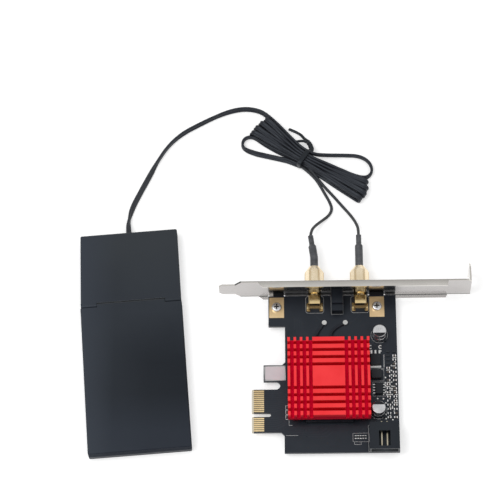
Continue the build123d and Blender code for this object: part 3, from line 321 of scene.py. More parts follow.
# Pale field on the keeper hook
# A bare printed patch where the card's keeper grips, slightly pink and smooth.
# A thin lighter rim runs round it.
FIELD_THICKNESS = 0.06
RIM_WIDTH = 0.3
RIM_Z = BOARD_TOP + FIELD_THICKNESS + 0.01
keeper_ink = finish(
    "keeper_ink", ((0.6, 0.54, 0.56), (0.72, 0.65, 0.67)), (0.34, 0.5),
    stretch=700.0, depth=0.000005, blotch=60.0,
)
dress(keeper_ink, "keeper_field")
verts, faces = strokes([outline(6.25, -42.65, 15.7, -35.75, 0.0)], RIM_WIDTH, RIM_Z)
mesh_piece("keeper_rim", verts, faces, legend_ink)

# Bracket
# A strip of nickel-plated steel, punched and folded, with the long strokes of the rolling mill in its face.
# Painted shade darkens its upper lip towards the back, darkens its inner face and draws a dark line along the
# lower fold; a painted reflection of the board darkens the inner face behind it, and painted light brightens
# the lower flange.
LIP_Z = 0.0174
LIP_SHADE_V = (-1.1, 2.2)
INNER_V = (1.45, 1.55)
INNER_SHADE_Z = (0.002, LIP_Z)
FOLD_SHADE_Z = (0.00088, 0.0017)
LIT_FOOT_Z = 0.00087
BOARD_REFLECTION_U = (10.4, 68.7)
BOARD_REFLECTION_V = (-0.5, 1.55)
BOARD_REFLECTION_Z = (0.005, 0.011)
bracket_steel = finish(
    "bracket_steel", ((0.64, 0.617, 0.58), (0.72, 0.697, 0.66)), (0.16, 0.26),
    stretch=(60.0, 3000.0, 3000.0), depth=0.0000012, metallic=1.0, blotch=45.0,
)
tree, x, y, z = coordinates(bracket_steel)
# Painted shade: the upper lip is darkened towards the back.
lip = maths(tree, "GREATER_THAN", z, LIP_Z)
lip_shade = mapped(tree, y, (card_y(LIP_SHADE_V[0]), card_y(LIP_SHADE_V[1])), (0.0, 0.85))
paint_where(bracket_steel, overlap(tree, lip, lip_shade), (0.4, 0.385, 0.36))
# Painted shade on the inner face, and a dark painted line of shade along the lower fold.
inner = between(tree, y, card_y(INNER_V[0]), card_y(INNER_V[1]))
paint_where(bracket_steel, overlap(tree, inner, between(tree, z, *INNER_SHADE_Z)), (0.5, 0.48, 0.47))
paint_where(bracket_steel, overlap(tree, inner, between(tree, z, *FOLD_SHADE_Z)), (0.1, 0.1, 0.1))
# Painted reflection of the black board on the inner face behind it, fading upwards.
beside = between(tree, x, card_x(BOARD_REFLECTION_U[0]), card_x(BOARD_REFLECTION_U[1]))
facing = between(tree, y, card_y(BOARD_REFLECTION_V[0]), card_y(BOARD_REFLECTION_V[1]))
reflection_fade = mapped(tree, z, BOARD_REFLECTION_Z, (1.0, 0.0))
paint_where(bracket_steel, overlap(tree, beside, facing, reflection_fade), (0.07, 0.07, 0.075))
# Painted light: the lower flange is made near white.
paint_where(bracket_steel, maths(tree, "LESS_THAN", z, LIT_FOOT_Z), (0.93, 0.92, 0.91))
dress(bracket_steel, "bracket")

# Screws
# Pan heads with a cross recess, cold-headed and nickel-plated, through the lands into the bracket's tabs.
# Four smaller ones hold the heat sink from the back, and one holds the radio module.
SCREWS_MIDDLE_U = 35.9
SCREWS_HALF_APART = 0.0239
SCREWS_V = -5.9
RECESS_R_SQUARED = 0.0000022
RECESS_Z = (0.00485, 0.00575)
screw_nickel = finish(
    "screw_nickel", ((0.52, 0.52, 0.53), (0.68, 0.68, 0.69)), (0.16, 0.3),
    stretch=1800.0, depth=0.000006, metallic=1.0, blotch=300.0,
)
dress(screw_nickel, "heat_sink_screws", "module_screw", "module_standoff", "base_weight")

recessed_screw = finish(
    "recessed_screw", ((0.62, 0.62, 0.63), (0.78, 0.78, 0.79)), (0.14, 0.26),
    stretch=1800.0, depth=0.000003, metallic=1.0, blotch=300.0,
)
tree, x, y, z = coordinates(recessed_screw)
off_x = maths(tree, "SUBTRACT", distance(tree, x, card_x(SCREWS_MIDDLE_U)), SCREWS_HALF_APART)
off_y = maths(tree, "SUBTRACT", y, card_y(SCREWS_V))
off_axis = maths(tree, "ADD", maths(tree, "POWER", off_x, 2.0), maths(tree, "POWER", off_y, 2.0))
# Painted shade: the floor of each cross recess is darkened.
recess_shade = overlap(tree, maths(tree, "LESS_THAN", off_axis, RECESS_R_SQUARED), between(tree, z, *RECESS_Z))
paint_where(recessed_screw, recess_shade, (0.02, 0.02, 0.022))
dress(recessed_screw, "bracket_screws")

# Heat sink
# An aluminium block, cross-cut into fins and rows round a solid middle, then dyed red in the anodising bath.
# The saw leaves fine strokes along the cuts, and painted shade darkens the red deeper in the slots.
SLOT_Z = (0.0112, 0.0146)
FRONT_WALL_V = -63.5
SINK_METALLIC = 0.3
red_anodised = finish(
    "red_anodised", ((0.92, 0.036, 0.042), (0.98, 0.05, 0.056)), (0.3, 0.42),
    stretch=(2600.0, 120.0, 2600.0), depth=0.000003, metallic=SINK_METALLIC, blotch=70.0, specular=0.2,
)
tree, x, y, z = coordinates(red_anodised)
# Painted shade: the red darkens deeper in the slots.
slot_shade = mapped(tree, z, SLOT_Z, (1.0, 0.0))
paint_where(red_anodised, slot_shade, (0.62, 0.003, 0.026))
slots = overlap(tree, slot_shade, maths(tree, "GREATER_THAN", y, card_y(FRONT_WALL_V)))
bare = mapped(tree, slots, (0.0, 1.0), (SINK_METALLIC, 1.0))
tree.links.new(bare, tree.nodes["Principled BSDF"].inputs["Metallic"])
dress(red_anodised, "heat_sink")

# Radio module under the heat sink
# A small plug-in board with a tin-plated shield can, a grey pad up to the heat sink and a black edge socket.
# Two short leads with round snap-on plugs bring it the two aerials.
tin_plate = finish(
    "tin_plate", ((0.55, 0.55, 0.54), (0.7, 0.7, 0.69)), (0.22, 0.36),
    stretch=1300.0, depth=0.000006, metallic=1.0, blotch=220.0,
)
dress(tin_plate, "module_shield", "pigtail_plugs", "lamp_legs", "regulator_leads", "logic_chip_pins")
pad_silicone = finish(
    "pad_silicone", ((0.27, 0.29, 0.32), (0.33, 0.35, 0.38)), (0.6, 0.8), stretch=1500.0, depth=0.00002,
)
dress(pad_silicone, "thermal_pad")
black_moulding = finish(
    "black_moulding", ((0.006, 0.0073, 0.011), (0.0095, 0.011, 0.015)), (0.36, 0.52),
    stretch=2600.0, specular=0.35,
)
dress(black_moulding, "module_socket", "lamp_holder", "capacitor_bases")

# Aerial jacks and the plugs screwed on them
# Turned brass under gold flash, with fine rings from the lathe, a white insulator and a gold pin.
# Each plug's coupling nut spins freely on its body, with painted shade along its arrises; painted shade also
# darkens a band at each jack's rear and its legs.
JACK_REAR_V = (-6.15, -6.05)
JACK_REAR_Z = (0.005, 0.0092)
LEG_SHADE_V = -6.9
LEG_SHADE_Z = 0.0051
NUTS_MIDDLE_U = (LEFT_JACK_U + RIGHT_JACK_U) / 2
NUTS_HALF_APART = (RIGHT_JACK_U - LEFT_JACK_U) / 2000
NUT_AXIS_Z = 0.0069
NUT_SIDES = 6
jack_gold = finish(
    "jack_gold", ((0.8, 0.6, 0.3), (0.88, 0.7, 0.4)), (0.12, 0.22),
    stretch=(900.0, 5000.0, 900.0), depth=0.0000012, metallic=1.0, blotch=240.0,
)
tree, x, y, z = coordinates(jack_gold)
# Painted shade: a dark band across the jack's rear.
rear_shade = between(tree, y, card_y(JACK_REAR_V[0]), card_y(JACK_REAR_V[1]))
paint_where(jack_gold, overlap(tree, rear_shade, between(tree, z, *JACK_REAR_Z)), (0.1, 0.065, 0.03))
# Painted shade over the legs at the back of the jack.
leg_shade = maths(tree, "LESS_THAN", y, card_y(LEG_SHADE_V))
paint_where(jack_gold, overlap(tree, leg_shade, maths(tree, "LESS_THAN", z, LEG_SHADE_Z)), (0.42, 0.29, 0.13))
dress(jack_gold, "left_jack", "right_jack", "jack_pins", "plug_pins", "left_plug_body", "right_plug_body")
nut_gold = finish(
    "nut_gold", ((0.86, 0.72, 0.5), (0.94, 0.81, 0.6)), (0.2, 0.3),
    stretch=(700.0, 5200.0, 700.0), depth=0.0000012, metallic=1.0, blotch=200.0,
)
tree, x, y, z = coordinates(nut_gold)
# Painted shade along the arrises of each hex nut.
across = maths(tree, "SUBTRACT", distance(tree, x, card_x(NUTS_MIDDLE_U)), NUTS_HALF_APART)
round_nut = maths(tree, "ARCTAN2", maths(tree, "SUBTRACT", z, NUT_AXIS_Z), across)
sides = maths(tree, "DIVIDE", round_nut, math.tau / NUT_SIDES)
along_side = maths(tree, "FRACT", maths(tree, "ADD", sides, NUT_SIDES + 0.5))
arris_shade = mapped(tree, distance(tree, along_side, 0.5), (0.0, 0.22), (0.8, 0.0))
paint_where(nut_gold, arris_shade, (0.52, 0.38, 0.2))
dress(nut_gold, "left_coupling_nut", "right_coupling_nut")
fluoropolymer = finish(
    "fluoropolymer", ((0.8, 0.8, 0.78), (0.88, 0.88, 0.86)), (0.4, 0.55), stretch=2000.0, depth=0.000006,
)
dress(fluoropolymer, "jack_insulators")

# Status lamp
# A clear resin lamp in its black holder between the jacks, looking out through the bracket.
# Its legs bend down through the board behind the holder.
lamp_resin = finish(
    "lamp_resin", ((0.78, 0.82, 0.8), (0.86, 0.88, 0.86)), (0.1, 0.18), stretch=900.0, depth=0.000003,
)
dress(lamp_resin, "status_lamp")

# Can capacitors
# Bright aluminium cans on moulded bases, with the negative half of each top printed black.
# The two stand opposite ways round.
CAN_TOP_Z = 0.01012
UPPER_MARK_V = (-30, -21.5)
LOWER_MARK_V = (-57.4, -50)
can_aluminium = finish(
    "can_aluminium", ((0.58, 0.58, 0.59), (0.69, 0.69, 0.7)), (0.24, 0.38),
    stretch=(1600.0, 1600.0, 250.0), depth=0.000005, metallic=1.0, blotch=300.0,
)
tree, x, y, z = coordinates(can_aluminium)
upper, lower = [between(tree, y, card_y(low), card_y(high)) for low, high in (UPPER_MARK_V, LOWER_MARK_V)]
marked = overlap(tree, maths(tree, "GREATER_THAN", z, CAN_TOP_Z), maths(tree, "ADD", upper, lower))
paint_where(can_aluminium, marked, (0.03, 0.03, 0.034))
dress(can_aluminium, "capacitor_cans")

# Power and logic chips
# Black moulded epoxy bodies and a grey ferrite coil, soldered flat on the board.
# Chip capacitors are brown ceramic and chip resistors black glass, all with tinned ends and bare lands between.
chip_epoxy = finish(
    "chip_epoxy", ((0.007, 0.007, 0.0085), (0.011, 0.011, 0.013)), (0.4, 0.55), stretch=3000.0, specular=0.35,
)
dress(chip_epoxy, "regulator", "logic_chip")
coil_ferrite = finish(
    "coil_ferrite", ((0.009, 0.009, 0.0105), (0.016, 0.016, 0.018)), (0.4, 0.6),
    stretch=2200.0, depth=0.00002, specular=0.35,
)
dress(coil_ferrite, "power_coil")

CHIP_BODIES = {
    "chip_capacitors": ((0.05, 0.037, 0.028), (0.09, 0.068, 0.05)),
    "chip_resistors": ((0.01, 0.01, 0.012), (0.016, 0.016, 0.018)),
}
# Each column of chips: its u, the v below which its ends are tinned, and its first gap with a bare land
CHIP_COLUMNS = ((64.4, -36.2, 5), (67.4, -30.0, 2))
CHIP_PITCH = 2.05
CHIP_GAP_V = -27.975
CHIP_END = (0.0004, 0.0012)
CHIP_ROW_V = -71.4
CHIP_ROW_START_V = -68.0
CHIP_ROW_END = 0.00052
TINNED_ABOVE = 0.3
for name, colours in CHIP_BODIES.items():
    body = finish(name + "_body", colours, (0.3, 0.45), depth=0.000006)
    tree, x, y, z = coordinates(body)
    in_row = maths(tree, "LESS_THAN", y, card_y(CHIP_ROW_START_V))
    row_end = maths(tree, "GREATER_THAN", distance(tree, y, card_y(CHIP_ROW_V)), CHIP_ROW_END)
    paint_where(body, overlap(tree, in_row, row_end), (0.75, 0.75, 0.73))
    along = maths(tree, "SUBTRACT", y, card_y(CHIP_GAP_V))
    cell = maths(tree, "FLOOR", maths(tree, "DIVIDE", along, CHIP_PITCH / 1000))
    for u, first_tinned_v, first_gap in CHIP_COLUMNS:
        off = distance(tree, x, card_x(u))
        side = maths(tree, "SIGN", maths(tree, "SUBTRACT", x, card_x(u)))
        seed = maths(tree, "ADD", maths(tree, "MULTIPLY", side, 0.37), maths(tree, "ADD", cell, u))
        chance = add_node(tree, "ShaderNodeTexWhiteNoise", {"W": seed}, noise_dimensions="1D").outputs[0]
        tinned = overlap(tree, between(tree, off, *CHIP_END), maths(tree, "GREATER_THAN", chance, TINNED_ABOVE))
        tinned = maths(tree, "MAXIMUM", maths(tree, "SUBTRACT", tinned, in_row), 0.0)
        paint_where(body, tinned, (0.93, 0.93, 0.92))
        coated = maths(tree, "GREATER_THAN", y, card_y(first_tinned_v))
        in_column = maths(tree, "LESS_THAN", off, CHIP_END[1])
        paint_where(body, overlap(tree, coated, in_column), (0.01, 0.01, 0.012))
    dress(body, name)

TIN_Z = BOARD_TOP + 0.035
MIDDLE_LANDS_U = 65.9
solder_tin = finish(
    "solder_tin", ((0.62, 0.62, 0.6), (0.8, 0.8, 0.78)), (0.3, 0.5),
    stretch=1500.0, metallic=0.4, blotch=300.0,
)
SPECKS = (
    (65.9, -38.4), (65.9, -40.6), (62.9, -44.6), (62.9, -46.0), (65.9, -47.5), (61.8, -50.3),
    (65.9, -50.4), (59.1, -52.4), (61.8, -52.5), (65.8, -64.3), (63.2, -64.3), (57.9, -64.2),
    (63.0, -41.9), (63.0, -49.0), (62.9, -54.6), (65.9, -57.2), (56.3, -28.5), (58.7, -28.5),
    (61.1, -28.5), (62.8, -60.3), (62.8, -62.4), (65.9, -62.9),
)
dots = [[(u - 0.32, v + 0.1), (u + 0.3, v - 0.12)] for u, v in SPECKS]
arcs = [ring(u, -26.5, 0.75)[3:18] for u in (56.3, 61.0)]
draws = np.random.RandomState(5)
bars = []
for gap in range(2, 17):
    v = CHIP_GAP_V - CHIP_PITCH * gap
    for u, first_tinned_v, first_gap in CHIP_COLUMNS:
        start, end = sorted(draws.uniform(-1.3, 1.2, 2))
        if gap >= first_gap and end - start > 0.5:
            bars.append([(u + start, v), (u + end, v + 0.1)])
    if gap >= 4 and draws.uniform() > 0.4:
        bars.append([(MIDDLE_LANDS_U, v + 0.6), (MIDDLE_LANDS_U, v - 0.2)])
verts, faces = [], []
for lines, width in ((dots, 0.6), (arcs, 0.45), (bars, 0.34)):
    more, made = strokes(lines, width, TIN_Z)
    faces += [tuple(index + len(verts) for index in face) for face in made]
    verts += more
mesh_piece("solder_joints", verts, faces, solder_tin)

# Cable header
# A black side-entry housing at the board's corner, with painted light on the floor of its mouth.
# Square brass pins under thin gold flash are pressed into it, greyer and darker than the jacks.
MOUTH_V = -77.2
MOUTH_FLOOR_Z = (0.00497, 0.00507)
tree, x, y, z = coordinates(black_moulding)
# Painted light: the floor of the mouth is made paler than its shade.
mouth_fill_light = overlap(tree, maths(tree, "LESS_THAN", y, card_y(MOUTH_V)), between(tree, z, *MOUTH_FLOOR_Z))
paint_where(black_moulding, mouth_fill_light, (0.06, 0.064, 0.07))
dress(black_moulding, "header_housing")
pin_flash = finish(
    "pin_flash", ((0.42, 0.37, 0.27), (0.52, 0.47, 0.36)), (0.24, 0.38),
    stretch=1500.0, depth=0.000004, metallic=1.0, blotch=300.0,
)
dress(pin_flash, "header_pins")

# Antenna
# Satin black moulded shells over a weighted base leaf and a blade leaf, joined by a knuckle hinge.
# The mould's fine spark texture covers both. Painted sheen lightens the base's far end, the blade's end and the
# left side, painted shade darkens the blade's middle towards the right, and painted light brightens the hinge's
# recess wall and the knuckle.
ANTENNA_AT = (-0.06865, 0.019)
ANTENNA_TURN = math.radians(4.2)
RECESS_WALL = (0.0011, 0.0013)
RECESS_WALL_Z = (0.0052, 0.00697)
KNUCKLE = (0.0002, 0.00105)
KNUCKLE_Z = (0.006, 0.00699)
DULL_WALL_Z = (0.0026, 0.0066)
DULL_WALL_ROUGH = 0.9
antenna_plastic = finish(
    "antenna_plastic", ((0.0107, 0.013, 0.019), (0.0183, 0.0217, 0.0283)), (0.3, 0.44),
    stretch=2400.0, blotch=16.0, specular=0.3,
)
tree, x, y, z = coordinates(antenna_plastic)
# Painted sheen: lighter towards the base's far end.
base_end_sheen = mapped(tree, y, (0.018, 0.05), (0.0, 0.9))
paint_where(antenna_plastic, base_end_sheen, (0.0275, 0.031, 0.0355))
# Painted shade: the blade's middle darker towards the right.
shade_rightward = mapped(tree, x, (-0.088, -0.06), (0.1, 1.0))
blade_middle_shade = overlap(tree, mapped(tree, y, (0.014, -0.012), (0.0, 1.0)), shade_rightward)
paint_where(antenna_plastic, blade_middle_shade, (0.002, 0.003, 0.0065))
# Painted sheen: lighter towards the blade's end.
blade_end_sheen = mapped(tree, y, (-0.027, -0.046), (0.0, 0.6))
paint_where(antenna_plastic, blade_end_sheen, (0.0165, 0.021, 0.0325))
# Painted highlight down the left side.
left_highlight = mapped(tree, x, (-0.076, -0.092), (0.0, 0.9))
paint_where(antenna_plastic, left_highlight, (0.029, 0.0345, 0.0465))
from_x = maths(tree, "MULTIPLY", maths(tree, "SUBTRACT", x, ANTENNA_AT[0]), -math.sin(ANTENNA_TURN))
from_y = maths(tree, "MULTIPLY", maths(tree, "SUBTRACT", y, ANTENNA_AT[1]), math.cos(ANTENNA_TURN))
past_hinge = maths(tree, "ADD", from_x, from_y)
# Painted light on the hinge's recess wall, where the seam gap falls into shade.
recess_fill_light = overlap(tree, between(tree, past_hinge, *RECESS_WALL), between(tree, z, *RECESS_WALL_Z))
paint_where(antenna_plastic, recess_fill_light, (0.165, 0.18, 0.205))
# Painted light on the knuckle beside the seam gap.
knuckle_fill_light = overlap(tree, between(tree, past_hinge, *KNUCKLE), between(tree, z, *KNUCKLE_Z))
paint_where(antenna_plastic, knuckle_fill_light, (0.045, 0.048, 0.052))
roughness = tree.nodes["Principled BSDF"].inputs["Roughness"]
dull_walls = maths(tree, "MULTIPLY", between(tree, z, *DULL_WALL_Z), DULL_WALL_ROUGH)
tree.links.new(maths(tree, "MAXIMUM", dull_walls, roughness.links[0].from_socket), roughness)
dress(antenna_plastic, "base_top_shell", "base_bottom_cover", "hinge_pins")
dress(antenna_plastic, "blade_front_shell", "blade_back_cover")
radiator_laminate = finish(
    "radiator_laminate", ((0.02, 0.09, 0.04), (0.03, 0.12, 0.055)), (0.35, 0.5), stretch=900.0, depth=0.000006,
)
dress(radiator_laminate, "radiator_boards")

# Heat-shrink sleeves
# Black plastic tube, slipped over the crimp and the end of each lead.
# It is shrunk on with hot air, which leaves it a little wrinkled lengthwise.
heat_shrink = finish(
    "heat_shrink", ((0.045, 0.0455, 0.048), (0.1, 0.1, 0.105)), (0.32, 0.5),
    stretch=(2600.0, 500.0, 2600.0), depth=0.00004, blotch=400.0, specular=0.45,
)
dress(heat_shrink, "left_sleeve", "right_sleeve")

# Twin cable
# Two thin coaxial leads side by side in one soft black jacket, from the antenna's bushing to the tie.
# Its spare length is folded into a flat hank, and the cable turns on edge where the tie pinches it.
CORE = 0.675
HANK_AT = (14.4, 95.6)
HANK_TURN = math.radians(-34.7)
ALONG = Vector((math.cos(HANK_TURN), math.sin(HANK_TURN), 0))
ACROSS = Vector((-math.sin(HANK_TURN), math.cos(HANK_TURN), 0))
UP = Vector((0, 0, 1))
TABLE_ROOM = 0.1
cable_jacket = finish(
    "cable_jacket", ((0.0152, 0.016, 0.021), (0.0212, 0.0225, 0.0285)), (0.34, 0.48),
    stretch=1800.0, blotch=160.0, specular=0.35,
)
tree, x, y, z = coordinates(cable_jacket)
paint_where(cable_jacket, mapped(tree, x, (-0.04, -0.064), (0.0, 1.0)), (0.035, 0.036, 0.04))
dress(cable_jacket, "cable_bushing", "pigtail_leads")


def on_hank(s, t, z):
    return Vector((*HANK_AT, z)) + ALONG * s + ACROSS * t


def nurbs_curve(name, points, steps):
    curve = bpy.data.curves.new(name, "CURVE")
    curve.dimensions = "3D"
    curve.resolution_u = steps
    spline = curve.splines.new("NURBS")
    spline.points.add(len(points) - 1)
    for made, point in zip(spline.points, points):
        made.co = (point[0] / 1000, point[1] / 1000, point[2] / 1000, 1.0)
    spline.order_u = 3
    spline.use_endpoint_u = True
    return curve


def smooth_line(points, steps):
    """Points read from the NURBS spline that has these control points, in metres."""
    curve = nurbs_curve("route", points, steps)
    carrier = bpy.data.objects.new("route", curve)
    bpy.context.scene.collection.objects.link(carrier)
    bpy.context.view_layer.update()
    mesh = bpy.data.meshes.new_from_object(carrier.evaluated_get(bpy.context.evaluated_depsgraph_get()))
    line = [vertex.co.copy() for vertex in mesh.vertices]
    bpy.data.objects.remove(carrier)
    bpy.data.curves.remove(curve)
    bpy.data.meshes.remove(mesh)
    return line


def heading(line, i):
    return (line[min(i + 1, len(line) - 1)] - line[max(i - 1, 0)]).normalized()


def swept(name, line, sides, profile, material):
    """A closed tube with this profile, whose first axis lies along the given side directions."""
    verts, faces = [], []
    count = len(profile)
    for i, point in enumerate(line):
        along = heading(line, i)
        side = (sides[i] - along * sides[i].dot(along)).normalized()
        other = along.cross(side)
        verts += [point + side * a / 1000 + other * b / 1000 for a, b in profile]
    for i in range(len(line) - 1):
        for j in range(count):
            k = (j + 1) % count
            faces.append((i * count + j, i * count + k, (i + 1) * count + k, (i + 1) * count + j))
    faces.append(tuple(reversed(range(count))))
    faces.append(tuple(range(len(verts) - count, len(verts))))
    return mesh_piece(name, verts, faces, material, smooth=True)


# The free run on the table, as x, y, z and the cable's tilt in degrees
free_run = (
    (-70.48, 56.27, 3.5, 0), (-70.8, 59.6, 3.1, 35), (-70.8, 64.4, 1.5, 89), (-69.2, 71.2, 1.0, 25),
    (-65.4, 79.5, 0.75, 0), (-61.0, 88.2, 0.95, 30), (-57.2, 96.0, 1.38, 88), (-51.9, 104.6, 1.38, 88),
    (-44.9, 111.2, 1.32, 70), (-36.6, 115.9, 1.32, 72), (-28.2, 120.3, 1.34, 78), (-20.6, 123.3, 1.2, 62),
    (-13.4, 124.4, 1.15, 60), (-6.4, 122.9, 1.3, 64),
)
plan = [Vector(point[:2]) for point in free_run]
control = []
for i, (x, y, z, tilt) in enumerate(free_run):
    along = heading(plan, i)
    level = Vector((-along.y, along.x, 0))
    tilt = math.radians(tilt)
    control.append((Vector((x, y, z)), level * math.cos(tilt) + UP * math.sin(tilt)))

# The hank, as the places along and across it, z and tilt: first over the tie and round the right loose loop
strand = [
    (-27.2, 9.9, 2.2, 60), (-20.0, 8.2, 3.3, 65), (-12.0, 6.0, 3.9, 75), (-4.0, 4.1, 4.1, 88),
    (3.2, 4.5, 3.9, 90), (8.0, 8.0, 2.4, 90), (15.0, 13.2, 1.4, 90), (21.8, 17.4, 1.38, 90),
    (28.0, 17.4, 1.38, 90), (32.2, 13.6, 1.38, 85), (31.2, 8.6, 1.2, 60), (24.0, 6.4, 0.8, 15),
    (12.0, 4.8, 1.0, 50), (3.2, 3.3, 1.4, 88),
]
LEFT_TIPS = ((-26.4, 7.4), (-27.4, 4.5), (-28.0, 1.2), (-28.0, -2.2))
RIGHT_TIPS = ((32.4, 6.6), (34.2, 3.9), (35.0, 0.9), (34.6, -2.3))
STRAND_PITCH = 1.3
LOW_PINCH = 3.2
HIGH_PINCH = 4.0
FOLD_REACH = 0.9
FOLD_DROP = 0.4
FOLD_HIGH = (4.35, 8)
FOLD_LOW = (0.72, 5)
for turn, ((left, left_t), (right, right_t)) in enumerate(zip(LEFT_TIPS, RIGHT_TIPS)):
    high = 2.6 - STRAND_PITCH * turn
    low = 3.3 - STRAND_PITCH * turn
    loose = 0.25 * math.sin(2.4 * turn + 0.6)
    for s, z, tilt in ((-LOW_PINCH, 1.4, 88), (-11.0, 1.0, 48), (-20.0, 0.78, 12), (left + 3.0, 0.74, 5)):
        share = (s + LOW_PINCH) / (left + LOW_PINCH)
        strand.append((s, low + (left_t - FOLD_DROP - low) * share, z, tilt))
    strand.append((left - FOLD_REACH, left_t - FOLD_DROP, *FOLD_LOW))
    strand.append((left - FOLD_REACH, left_t, *FOLD_HIGH))
    for s, z, tilt in (
        (left + 3.4, 4.3 + loose, 12), (-20.5, 3.9 + loose, 24), (-12.0, 3.8, 52), (-HIGH_PINCH, 4.1, 88),
    ):
        share = (s + HIGH_PINCH) / (left + HIGH_PINCH)
        strand.append((s, high + (left_t - high) * share + loose * share, z, tilt))
    for s, z, tilt in ((HIGH_PINCH, 4.1, 88), (13.0, 3.8, 52), (23.5, 3.9 - loose, 24), (right - 3.4, 4.3, 12)):
        share = (s - HIGH_PINCH) / (right - HIGH_PINCH)
        strand.append((s, high + (right_t - high) * share - loose * share, z, tilt))
    strand.append((right + FOLD_REACH, right_t, *FOLD_HIGH))
    strand.append((right + FOLD_REACH, right_t - FOLD_DROP, *FOLD_LOW))
    next_low = low - STRAND_PITCH
    for s, z, tilt in ((right - 3.0, 0.74, 5), (23.0, 0.78, 12), (12.0, 1.0, 48), (LOW_PINCH, 1.4, 88)):
        share = (s - LOW_PINCH) / (right - LOW_PINCH)
        strand.append((s, next_low + (right_t - FOLD_DROP - next_low) * share, z, tilt))
# Last, the left loose loop and back under the tie
strand += [
    (-3.2, -1.9, 1.4, 88), (-12.0, -3.0, 1.1, 60), (-21.0, -3.4, 1.2, 70), (-28.0, -3.0, 1.38, 90),
    (-31.0, -6.8, 1.38, 90), (-28.6, -11.4, 1.38, 84), (-22.0, -10.2, 1.1, 40), (-16.4, -8.0, 0.85, 12),
    (-10.5, -5.8, 0.82, 10), (-5.0, -3.9, 1.1, 40), (1.0, -3.4, 1.35, 70),
]
for s, t, z, tilt in strand:
    tilt = math.radians(tilt)
    control.append((on_hank(s, t, z), ACROSS * math.cos(tilt) + UP * math.sin(tilt)))
for point, side in control:
    point.z = max(point.z, CORE * (1 + side.z) + TABLE_ROOM)

line = smooth_line([point for point, side in control], 8)
spans = len(control) - 2
knots = [0.0] + [i + 0.5 for i in range(spans)] + [float(spans)]
at = np.linspace(0.0, spans, len(line))
sides = np.array([np.interp(at, knots, [side[axis] for point, side in control]) for axis in range(3)]).T
twin_profile = []
for sign in (1, -1):
    for step in range(9):
        angle = math.radians(-144 + 36 * step)
        twin_profile.append((sign * (CORE + CORE * math.cos(angle)), sign * CORE * math.sin(angle)))
sides = [Vector(side) for side in sides]
twin_cable = swept("twin_cable_run", line, sides, twin_profile, cable_jacket)
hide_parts("twin_cable", "cable_hank", "left_loose_loop", "right_loose_loop")

# Twist tie
# A wire in a flat black plastic skin, wound twice round the hank and twisted shut beside it.
# Its two ends lie loose, one long and one short.
BAND_STEPS = 96
BAND_TURNS = 2
BAND_LIFT = 0.25
BAND_LEAD = 1.2
BAND_SQUARENESS = 0.45
BAND_PROFILE = (
    (-0.8, -0.12), (-0.3, -0.2), (0.3, -0.2), (0.8, -0.12), (0.8, 0.12),
    (0.35, 0.18), (0.0, 0.34), (-0.35, 0.18), (-0.8, 0.12),
)
TWIST = ((0.7, 4.9, 4.2), (1.2, 6.2, 3.6), (-0.2, 7.4, 3.3), (-1.8, 8.6, 3.0), (-3.4, 9.1, 2.8))
TWIST_TURNS = 3.0
TWIST_R = 0.00055
TIE_ENDS = {
    "tie_end_long": (
        (-5.6, 9.8, 1.9), (-8.2, 11.1, 1.0), (-10.9, 11.3, 0.62), (-13.4, 11.0, 0.58), (-15.6, 10.6, 0.58),
    ),
    "tie_end_short": ((-4.6, 8.4, 3.4), (-6.1, 6.9, 4.4), (-7.6, 5.0, 5.0)),
}
END_PROFILE = [(0.75 * math.cos(a * math.tau / 10), 0.42 * math.sin(a * math.tau / 10)) for a in range(10)]
tie_plastic = finish(
    "tie_plastic", ((0.0065, 0.0072, 0.0095), (0.011, 0.012, 0.0145)), (0.3, 0.44),
    stretch=1600.0, blotch=300.0, specular=0.4,
)


def squared(value):
    return math.copysign(abs(value) ** BAND_SQUARENESS, value)


band_line = []
for step in range(BAND_STEPS + 1):
    share = step / BAND_STEPS
    angle = math.tau * BAND_TURNS * share
    lift = BAND_LIFT * share
    t = 0.25 + (4.55 + lift) * squared(math.cos(angle))
    z = 3.3 + (2.68 + lift) * squared(math.sin(angle))
    band_line.append(on_hank(-0.25 + BAND_LEAD * share + 0.2 * math.sin(angle), t, z) / 1000)
tie_band = swept("tie_band", band_line, [ALONG] * len(band_line), BAND_PROFILE, tie_plastic)
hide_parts("twist_tie")

route = smooth_line([on_hank(*point) for point in TWIST], 12)
for phase, (name, end) in enumerate(TIE_ENDS.items()):
    wound = []
    for i, point in enumerate(route):
        along = heading(route, i)
        side = along.cross(UP).normalized()
        angle = math.pi * phase + math.tau * TWIST_TURNS * i / (len(route) - 1)
        wound.append(point + (side * math.cos(angle) + side.cross(along) * math.sin(angle)) * TWIST_R)
    tail = smooth_line([wound[-1] * 1000] + [on_hank(*point) for point in end], 8)
    whole = wound + tail[1:]
    level = [heading(whole, i).cross(UP) for i in range(len(whole))]
    swept(name, whole, level, END_PROFILE, tie_plastic)
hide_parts("tie_tail")

# Leads
# The two halves of the twin cable, torn apart below the tie, each a thin coaxial lead in its own black jacket.
# Each one goes up into the sleeve of its plug, and its jacket is greyer towards the plug.
LEAD_R = 0.00073
LEAD_STEPS = 10
LEADS = {
    "left": (
        (13.4, 92.3, 1.5), (16.0, 90.3, 1.1), (18.3, 88.1, 0.85), (20.8, 85.2, 0.76), (22.9, 81.5, 0.76),
        (25.0, 77.3, 0.76), (27.3, 72.9, 0.76), (28.4, 69.0, 0.76), (26.6, 65.6, 0.85), (23.0, 62.4, 1.8),
        (19.9, 59.2, 3.6), (18.0, 55.9, 5.6), (17.59, 52.34, 6.9),
    ),
    "right": (
        (17.0, 91.6, 1.8), (19.6, 88.7, 0.9), (22.3, 84.7, 0.76), (25.2, 80.7, 0.76), (29.2, 76.0, 0.76),
        (33.4, 70.6, 0.76), (37.1, 66.0, 0.95), (39.5, 61.4, 2.6), (40.8, 56.8, 5.4), (40.75, 52.45, 6.9),
    ),
}
